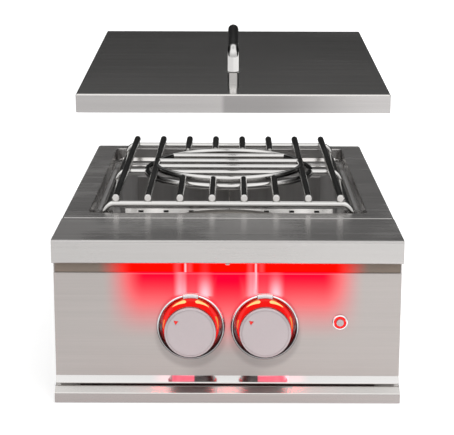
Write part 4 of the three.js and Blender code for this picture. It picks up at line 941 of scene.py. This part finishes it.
def knob_set(side, axis):
    bezel = [(35.5, 11.7), (35.5, 6.9), (36.0, 6.5), (37.2, 5.2), (38.6, 3.7), (39.4, 2.9),
             (40.1, 2.5), (41.0, 2.7), (41.8, 3.5), (42.4, 4.9), (42.8, 6.8), (43.0, 8.6),
             (43.0, 11.7)]
    made = bare(f"{side}_bezel_ring", about(bezel, axis, 144))
    carve(made, tab_wedge(axis, TAB_NOTCH_HALF, 1, 7.5))
    finished(made, bezel_chrome, "housing", [f"{side}_bezel"], edge=0.25)
    made.data.materials.append(chrome_painted_shade)
    # Faces of the inner slope take the darker chrome: painted shade round the knob.
    for face in made.data.polygons:
        reach_x, reach_z = face.center.x / METRE - axis.x, face.center.z / METRE - axis.z
        if math.hypot(reach_x, reach_z) < BEZEL_SLOPE and face.normal.y < 0:
            face.material_index = 1

    tab = [(36.6, 7.2), (36.6, 4.6), (37.1, 4.05), (41.2, 4.0), (42.0, 4.25), (42.4, 4.8),
           (42.4, 7.2)]
    made = bare(f"{side}_bezel_tab_block", about(tab, axis, 144))
    carve(made, tab_wedge(axis, TAB_HALF, 2, 9), "INTERSECT")
    finished(made, tab_steel, "housing", [f"{side}_bezel_tab"], edge=0.3)

    dial = [(9, 11.7), (9, 8.3), (30.6, 8.3), (32.2, 8.5), (34.4, 9.0), (35.2, 9.4),
            (35.2, 11.7)]
    finished(bare(f"{side}_dial_disc", about(dial, axis, 96)), dial_red, "housing",
             [f"{side}_dial"])
    for place, shapes, light in (("upper", UPPER_MARKS, dial_cream),
                                 ("side", SIDE_MARKS, dial_amber)):
        marks = [dial_mark(axis, *shape) for shape in shapes]
        finished(bare(f"{side}_dial_{place}_marks", together(*marks)), light, "housing", ())

    knob = [(0, -21), (28.3, -21), (28.45, -20.5), (28.95, -20.5), (29.1, -20.95),
            (29.4, -20.85), (31.1, -19.9), (31.6, -19.4), (31.8, -18.8),
            (31.8, -14.4), (31.5, -13.9), (29.6, -12.6), (29.1, -10.0), (24.5, 3.7), (0, 3.7)]
    made = bare(f"{side}_knob_body", about(knob, axis, 128))
    carve(made, hole_y(axis, STEM_HOLE, behind(-9.3), behind(8)))
    carve(made, run_y(pointer(axis, POINTER_SIZE + GAP / math.cos(math.pi / 3)), behind(-24),
                      behind(-19.9)))
    finished(made, satin, f"{side}_knob_and_stem", [f"{side}_knob"], edge=0.12)
    made.data.materials.append(knob_flank)
    # The flank behind the knob's face takes the darker satin: painted shade.
    for face in made.data.polygons:
        if face.center.y > behind(FACE_EDGE) * METRE:
            face.material_index = 1


POINTER_TURN = math.radians(52)
MARK_FRONT, MARK_BACK = 8.05, 9.2
# Each mark on the dial: thick end and thin end in degrees from the top, radius, width.
UPPER_MARKS = ((10, 43, 32.0, 4.3), (-10, -43, 32.0, 4.3))
SIDE_MARKS = ((76, 96, 33.6, 1.3), (-68, -97, 33.3, 2.0))


def pointer(axis, half):
    """The three corners of the pointer mark's outline."""
    x = axis.x - POINTER_RADIUS * math.sin(POINTER_TURN)
    z = axis.z + POINTER_RADIUS * math.cos(POINTER_TURN)
    turns = (POINTER_TURN + k * math.tau / 3 for k in range(3))
    return [(x - half * math.sin(turn), z + half * math.cos(turn)) for turn in turns]


def dial_mark(axis, thick, thin, middle, width):
    """A tapered crescent on the dial: thick at its end nearer the top, drawn out to a point."""
    steps = 18
    inner, outer = [], []
    for step in range(steps + 1):
        share = step / steps
        angle = math.radians(90 + thick + (thin - thick) * share)
        swell = width / 2 * math.sqrt(min(share * 7, 1)) * (1 - share) ** 0.8 + 0.12
        for side, edge in ((-1, inner), (1, outer)):
            radius = middle + 0.3 * width * share + side * swell
            edge.append((axis.x + radius * math.cos(angle), axis.z + radius * math.sin(angle)))
    return run_y(outer + inner[::-1], behind(MARK_FRONT), behind(MARK_BACK))


# ---------------------------------------------------------------- light button
EYE_OFFSET, EYE_RADIUS = 1.3, 0.7


def light_button():
    body = [(7.5, 16.3), (7.5, 10.1), (7.7, 9.6), (8.1, 9.3), (8.6, 9.35), (9.3, 9.8),
            (9.8, 10.5), (10, 11.0), (10, 11.7), (8, 11.7), (8, 36), (0, 36), (0, 16.3)]
    finished(bare("button_body", about(body, BUTTON, 64)), chrome, "housing", ["switch_body"])
    ring = [(4.95, 16), (4.95, 9.8), (5.2, 9.6), (6.9, 9.6), (7.2, 9.8), (7.2, 16)]
    finished(bare("button_light_ring", about(ring, BUTTON, 64)), dial_red, "housing",
             ["switch_light_ring"])
    cap = [(0, 8.3), (3.9, 8.3), (4.4, 8.5), (4.6, 8.9), (4.6, 14), (0, 14)]
    made = bare("button_cap", about(cap, BUTTON, 64))
    for way_x, way_z in ((1, 1), (-1, 1), (1, -1), (-1, -1)):
        eye = BUTTON + Vector((way_x * EYE_OFFSET, 0, way_z * EYE_OFFSET))
        carve(made, hole_y(eye, EYE_RADIUS, behind(7), behind(8.7), 20))
    finished(made, satin, "light_button", ["switch_cap"], edge=0.1)


# ---------------------------------------------------------------- burners
RING_CENTRE = centre_of("outer_burner")
BURNER_PORTS = 36
TUB_SLOPE, TUB_SLOPE_HALF = (605.8, 98.4, 601.2, 106.9), 171
TUB_SLOT_DEPTH, TUB_SLOT_PITCH, TUB_SLOT_HALF, TUB_SLOT_RISE = 102.5, 41.4, 4.2, 1.7


def tub_rear_slope():
    """The slanted lower part of the tub's rear wall, with its slots."""
    y0, top, y1, foot = TUB_SLOPE
    line = [(behind(y0), below(top)), (behind(y1), below(foot))]
    made = bare("tub_rear_slope", run_x(folded(line, thickness=THIN_SHEET), -TUB_SLOPE_HALF,
                                        TUB_SLOPE_HALF))
    centres = [side * TUB_SLOT_PITCH * (i + 0.5) for side in (-1, 1) for i in range(4)]
    carve(made, together(*[
        block(x - TUB_SLOT_HALF, x + TUB_SLOT_HALF, behind(y1 - 3), behind(y0 + 3),
              below(TUB_SLOT_DEPTH + TUB_SLOT_RISE), below(TUB_SLOT_DEPTH - TUB_SLOT_RISE))
        for x in centres]))
    # The slope takes the brighter steel with its painted highlight.
    finished(made, upward_highlight_steel, "housing", ())


def burner(name, node_name, outer, inner):
    """A cast ring with a row of flame ports around its outer face."""
    low, high = (corner.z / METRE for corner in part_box(node_name))
    profile = [(inner, low), (outer - 0.6, low), (outer, low + 0.6), (outer, high - 4.6),
               (outer - 0.3, high - 3.6), (outer - 3.6, high - 0.3), (outer - 4.6, high),
               (inner + 4.6, high), (inner + 3.6, high - 0.3), (inner + 0.3, high - 3.6),
               (inner, high - 4.6)]
    made = bare(name, turned(profile, RING_CENTRE, "Z", 144))
    level = high - 5.2
    ports = []
    for i in range(BURNER_PORTS):
        turn = Matrix.Rotation(math.tau * i / BURNER_PORTS, 3, "Z")
        points, faces = block(outer - 5, outer + 4, -1.2, 1.2, level - 1.6, level + 1.6, 0.3)
        centre = Vector((RING_CENTRE.x, RING_CENTRE.y, 0))
        ports.append(([tuple(turn @ Vector(p) + centre) for p in points], faces))
    carve(made, together(*ports))
    finished(made, burner_iron, "housing", [node_name])


# ---------------------------------------------------------------- grate
ROD = 4.6
TOP_ROD = 4.9
ROD_Z = below(-16.5)
CROSS_Z = below(-7.9)
RAIL_X, RAIL_Z = 164.4, below(7.4)
ROD_PITCH = 2 * (RAIL_X - 14.8) / 7
ROD_FRONT, ROD_BACK = behind(165), behind(616)
CROSS_FRONT, CROSS_MIDDLE, CROSS_REAR = ROD_FRONT + 2, RING_CENTRE.y - 15, ROD_BACK - 13
HOOP_RADIUS, INSERT_RADIUS = 121.4, 107.3
CRADLE = INSERT_RADIUS + ROD + 1.2
LUG_X, LUG_JOINT, LUG_ROD = 1.5 * ROD_PITCH, 1.2, 3.1
HOOP_FACE_LEVEL, HOOP_FACE_SLACK, CROSS_BEND, CUTTER_HALF = 11, 0.4, 13, 9
LUG_REACH = math.sqrt(HOOP_RADIUS ** 2 - LUG_X ** 2) - LUG_JOINT / 2


def give_hoop_dark_reflection(made, material, radius):
    """Gives the round hoop of a welded piece its own steel, with the painted dark reflection on
    its sides.
    """
    made.data.materials.append(material)
    for face in made.data.polygons:
        out = face.center.xy / METRE - Vector((0, RING_CENTRE.y))
        near_level = abs(face.center.z / METRE - CROSS_Z) < HOOP_FACE_LEVEL
        if abs(out.length - radius) < ROD + HOOP_FACE_SLACK and near_level:
            face.material_index = 1


def grate():
    centre = Vector((0, RING_CENTRE.y, CROSS_Z))
    tops = bare("grate_top_rods", together(*[
        rod([(ROD_PITCH * (i - 3.5), ROD_FRONT, ROD_Z), (ROD_PITCH * (i - 3.5), ROD_BACK, ROD_Z)],
            TOP_ROD, around=36, ease=0.9) for i in range(8)]))
    low, high = ROD_Z - CUTTER_HALF, ROD_Z + CUTTER_HALF
    carve(tops, turned([(0, low), (CRADLE, low), (CRADLE, high), (0, high)], centre, "Z", 144))
    room, end = ROD + 1, LUG_REACH + LUG_JOINT
    carve(tops, together(*[block(side * LUG_X - room, side * LUG_X + room, centre.y - end,
                                 centre.y + end, low, high) for side in (-1, 1)]))
    finished(tops, rod_steel, "grate", ["grate"], edge=0.2)
    tops.data.materials.append(rod_end_highlight_steel)
    # The rods' front end faces, turned to the light, take the brighter steel: painted highlight.
    for face in tops.data.polygons:
        if face.normal.y < -0.9 and face.center.y < (ROD_FRONT + 1) * METRE:
            face.material_index = 1
    rails = [rod([(side * RAIL_X, CROSS_FRONT - ROD, RAIL_Z), (side * RAIL_X, CROSS_REAR + ROD,
                                                              RAIL_Z)], ROD) for side in (-1, 1)]
    wholes = [rod([(-RAIL_X, y, RAIL_Z), (-RAIL_X, y, CROSS_Z), (RAIL_X, y, CROSS_Z),
                   (RAIL_X, y, RAIL_Z)], ROD, CROSS_BEND) for y in (CROSS_FRONT, CROSS_REAR)]
    inner = math.sqrt(HOOP_RADIUS ** 2 - (RING_CENTRE.y - CROSS_MIDDLE) ** 2)
    halves = [rod([(side * RAIL_X, CROSS_MIDDLE, RAIL_Z), (side * RAIL_X, CROSS_MIDDLE, CROSS_Z),
                   (side * inner, CROSS_MIDDLE, CROSS_Z)], ROD, CROSS_BEND)
              for side in (-1, 1)]
    frame_form = together(hoop(centre, HOOP_RADIUS, ROD), *rails, *wholes, *halves)
    made = bare("grate_frame", frame_form)
    finished(made, rod_steel, "grate", ())
    give_hoop_dark_reflection(made, hoop_steel, HOOP_RADIUS)


def ring_insert():
    centre = Vector((0, RING_CENTRE.y, ROD_Z))
    bars = []
    for i in range(4):
        off = ROD_PITCH * (i - 1.5)
        half = math.sqrt(INSERT_RADIUS ** 2 - off ** 2)
        bars.append(rod([(-half, centre.y + off, ROD_Z), (half, centre.y + off, ROD_Z)], ROD))
    start = math.sqrt(INSERT_RADIUS ** 2 - LUG_X ** 2)
    lugs = [rod([centre + Vector((side * LUG_X, way * start, 0)),
                 centre + Vector((side * LUG_X, way * LUG_REACH, 0))], LUG_ROD, ease=0.6)
            for side in (-1, 1) for way in (-1, 1)]
    made = bare("lift_out_ring", together(hoop(centre, INSERT_RADIUS, ROD), *bars, *lugs))
    finished(made, rod_steel, "ring_insert", ["ring_insert"])
    give_hoop_dark_reflection(made, ring_steel, INSERT_RADIUS)


# ---------------------------------------------------------------- lid
LID_HALF, LID_LENGTH, LID_HEIGHT, LID_EDGE = 206, 492, 24.6, 2.5
LID_CORNER, POST_SETBACK = 2.2, 146.3
FLAT_TOP, ROUNDED_EDGE = 0.985, 0.2
LIFT = (Matrix.Translation((6.3, behind(160), below(-156.2)))
        @ Matrix.Rotation(math.radians(3.85), 4, "X"))
HANDLE_RADIUS, HANDLE_HEIGHT, HANDLE_BEND = 7.9, 37.9, 11
POSTS = (POST_SETBACK + HANDLE_RADIUS, LID_LENGTH - POST_SETBACK - HANDLE_RADIUS)


def lifted(form):
    """Brings a form from the lid's own place to where the lid is held."""
    points, faces = form
    return [tuple(LIFT @ Vector(point)) for point in points], faces


def lid():
    def loop(inset, height):
        return plan_loop(inset - LID_HALF, LID_HALF - inset, inset, LID_LENGTH - inset,
                         max(LID_CORNER - inset, 0.3), height, 6)
    top = [loop(inset, -depth) for inset, depth in rounding(LID_EDGE, LID_EDGE, 8)]
    made = bare("lid_sheet", lifted(lofted([loop(0, -LID_HEIGHT)] + top)))
    carve(made, lifted(lofted([loop(SHEET, -LID_HEIGHT - 3), loop(SHEET, -LID_EDGE),
                               loop(SHEET + 0.4, -SHEET - 0.3), loop(SHEET + 1, -SHEET)])))
    finished(made, lid_steel, "lid", ["lid_panel"], edge=0.15)
    # Flat top faces take the lid top steel, and the rounded edges the brighter steel with its
    # painted highlight.
    made.data.materials.append(lid_top_steel)
    made.data.materials.append(upward_highlight_steel)
    for face in made.data.polygons:
        if face.normal.z > FLAT_TOP:
            face.material_index = 1
        elif face.normal.z > ROUNDED_EDGE:
            face.material_index = 2
    made.visible_shadow = made.visible_glossy = made.visible_diffuse = False
    top_z = HANDLE_HEIGHT - HANDLE_RADIUS
    bar = rod([(0, POSTS[0], GAP), (0, POSTS[0], top_z), (0, POSTS[1], top_z),
               (0, POSTS[1], GAP)], HANDLE_RADIUS, HANDLE_BEND, around=56, ease=0.6)
    made = bare("lid_handle_bar", lifted(bar))
    finished(made, handle_steel, "lid", ["lid_handle"])
    made.visible_shadow = False
    for screw in ("lid_screw_front", "lid_screw_rear"):
        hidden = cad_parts[screw]
        hidden.visible_shadow = hidden.visible_glossy = hidden.visible_diffuse = False


# ---------------------------------------------------------------- small finer pieces
def small_pieces():
    low, high = (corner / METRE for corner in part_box("igniter_sleeve"))
    sleeve = [(1.4, low.z + SHEET), (1.4, high.z), (3.4, high.z), (4, high.z - 0.8), (4, low.z),
              (0, low.z), (0, low.z + SHEET)]
    axis = centre_of("igniter_sleeve")
    finished(bare("igniter_ceramic", turned([(r, z) for r, z in sleeve], axis, "Z", 32)),
             ceramic, "housing", ["igniter_sleeve"])
    low, high = (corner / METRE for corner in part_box("igniter_electrode"))
    tip = Vector((-5, axis.y, high.z - 3))
    wire = rod([(axis.x, axis.y, low.z), (axis.x, axis.y, tip.z), tip], 1.1, 2, around=16,
               ease=0.2)
    bead = turned([(3 * math.sin(a), tip.z - 3 * math.cos(a)) for a in
                   (math.pi * k / 14 for k in range(15))], tip, "Z", 28)
    finished(bare("igniter_wire", together(wire, bead)), polished, "housing",
             ["igniter_electrode"])


front_shelf()
deck_frame()
control_panel()
drip_tray()
knob_set("left", LEFT_KNOB)
knob_set("right", RIGHT_KNOB)
light_button()
tub_rear_slope()
burner("outer_burner_ring", "outer_burner", 108, 84)
burner("inner_burner_ring", "inner_burner", 60, 36)
grate()
ring_insert()
lid()
small_pieces()
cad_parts["gas_inlet"].material_slots[0].material = brass


# ---------------------------------------------------------------- camera
LENS, FILM_WIDTH = 112.6, 36
TILT, YAW, ROLL = 0.2308, 0.0039, 0.0022
CAMERA_PLACE = (0.005794, -1.993819, 0.630948)


def camera():
    data = bpy.data.cameras.new("photo_camera")
    made = bpy.data.objects.new("photo_camera", data)
    SCENE.collection.objects.link(made)
    data.lens, data.sensor_width = LENS, FILM_WIDTH
    ahead = Vector((-math.sin(YAW) * math.cos(TILT), math.cos(YAW) * math.cos(TILT),
                    -math.sin(TILT)))
    right = Vector((math.cos(YAW), math.sin(YAW), 0))
    up = right.cross(ahead)
    turned_right = right * math.cos(ROLL) + up * math.sin(ROLL)
    turned_up = up * math.cos(ROLL) - right * math.sin(ROLL)
    axes = Matrix((turned_right, turned_up, -ahead)).transposed().to_4x4()
    made.matrix_world = Matrix.Translation(CAMERA_PLACE) @ axes
    SCENE.camera = made


# ---------------------------------------------------------------- studio
FLOOR_HALF = 60
FLOOR_GLOW = (-0.3, 0.34, 0.46, 0.66)  # from left to right: two places, two strengths
CLOTH_SIDE, CLOTH_HEIGHT = [(0.45, 0.62), (0.62, 1.6), (1.2, 2.2), (3, 5), (30, 55)], 0.002


def flat_sheet(name, outline, height):
    """A level sheet on the studio's floor, from an outline in metres."""
    mesh = bpy.data.meshes.new(name)
    mesh.from_pydata([(x, y, height) for x, y in outline], [], [tuple(range(len(outline)))])
    made = bpy.data.objects.new(name, mesh)
    SCENE.collection.objects.link(made)
    return made


def studio_floor():
    """A white floor that the camera and polished metal see as white, and that keeps shadows."""
    floor = flat_sheet("studio_floor", [(-FLOOR_HALF, -FLOOR_HALF), (FLOOR_HALF, -FLOOR_HALF),
                                        (FLOOR_HALF, FLOOR_HALF), (-FLOOR_HALF, FLOOR_HALF)], 0)
    material, tree, shader = new_material("studio_floor", 0.0, Roughness=0.9)
    shader.inputs["Specular IOR Level"].default_value = 0.0
    shader.inputs["Base Color"].default_value = (0.8, 0.8, 0.8, 1)
    path = node(tree, "ShaderNodeLightPath")
    seen = math_node(tree, "MAXIMUM", path.outputs["Is Camera Ray"],
                     math_node(tree, "MAXIMUM", path.outputs["Is Glossy Ray"],
                               path.outputs["Is Transmission Ray"]))
    shader.inputs["Emission Color"].default_value = (1, 1, 1, 1)
    # Painted light: the floor glows brighter towards the right.
    uneven = span(tree, place_of(tree)[0], *FLOOR_GLOW)
    tree.links.new(math_node(tree, "MULTIPLY", seen, uneven), shader.inputs["Emission Strength"])
    floor.data.materials.append(material)


def dark_sheet():
    """A black cloth on the floor behind the burner, which only its reflections show."""
    outline = CLOTH_SIDE + [(-x, y) for x, y in CLOTH_SIDE[::-1]]
    sheet = flat_sheet("dark_sheet", outline, CLOTH_HEIGHT)
    sheet.data.materials.append(grained("black_cloth", (0.02, 0.02, 0.02), 0.95, size=300.0))
    sheet.visible_camera = sheet.visible_diffuse = sheet.visible_shadow = False


# The world's levels: from one height or direction to another, and the level at each.
BACK_LOW, BACK_HIGH = (0.2, 0.4, 0.02, 0.13), (0.5, 0.86, 0.0, 1.12)
FRONT_LEVEL, FRONT_TO_BACK = (0.2, 0.75, 0.85, 1.4), (-0.25, 0.3)
FLAG_SIDES, FLAG_HEIGHTS, FLAG_DEPTHS = (0.3, 0.6), (0.6, 0.9, 1.0, 0.0), (-0.2, 0.15)
FLAG_LEVEL, ZENITH = 0.12, (0.92, 0.98, 1.0, 0.7)


def studio_world():
    """Bright overhead and in front, dark low down behind, as a product studio's flags make it."""
    world = bpy.data.worlds.new("studio")
    SCENE.world = world
    world.use_nodes = True
    tree = world.node_tree
    way = node(tree, "ShaderNodeTexCoord").outputs["Generated"]
    parts = node(tree, "ShaderNodeSeparateXYZ", {0: way})
    up = parts.outputs["Z"]
    back = math_node(tree, "ADD", span(tree, up, *BACK_LOW), span(tree, up, *BACK_HIGH))
    front = span(tree, up, *FRONT_LEVEL)
    facing = span(tree, parts.outputs["Y"], *FRONT_TO_BACK)
    level = node(tree, "ShaderNodeMix", {0: facing, 2: front, 3: back}).outputs[0]
    sideways = span(tree, math_node(tree, "ABSOLUTE", parts.outputs["X"]), *FLAG_SIDES)
    low = span(tree, up, *FLAG_HEIGHTS)
    flags = math_node(tree, "MULTIPLY", sideways, math_node(
        tree, "MULTIPLY", low, span(tree, parts.outputs["Y"], *FLAG_DEPTHS)))
    level = math_node(tree, "MULTIPLY", level, span(tree, flags, 0.0, 1.0, 1.0, FLAG_LEVEL))
    level = math_node(tree, "MULTIPLY", level, span(tree, up, *ZENITH))
    background = tree.nodes["Background"]
    tone = node(tree, "ShaderNodeCombineColor", {0: level, 1: level, 2: level})
    tree.links.new(tone.outputs[0], background.inputs["Color"])


STRIP_LENGTH, STRIP_WIDTH, STRIP_ENERGY = 0.2, 0.004, 0.06
STRIP_SETBACK, STRIP_DEPTH, STRIP_TURN = 5.5, 30.7, 20


def red_strip():
    """The light bar's own glow on the pieces near it."""
    lamp = bpy.data.lights.new("red_strip", "AREA")
    lamp.shape, lamp.size, lamp.size_y = "RECTANGLE", STRIP_LENGTH, STRIP_WIDTH
    lamp.energy, lamp.color = STRIP_ENERGY, (1.0, 0.02, 0.03)
    made = bpy.data.objects.new("red_strip", lamp)
    SCENE.collection.objects.link(made)
    made.location = Vector((0, behind(STRIP_SETBACK), below(STRIP_DEPTH))) * METRE
    made.rotation_euler = (math.radians(STRIP_TURN), 0, 0)
    made.visible_camera = False


camera()
studio_floor()
dark_sheet()
studio_world()
red_strip()
SCENE.view_settings.view_transform = "Standard"
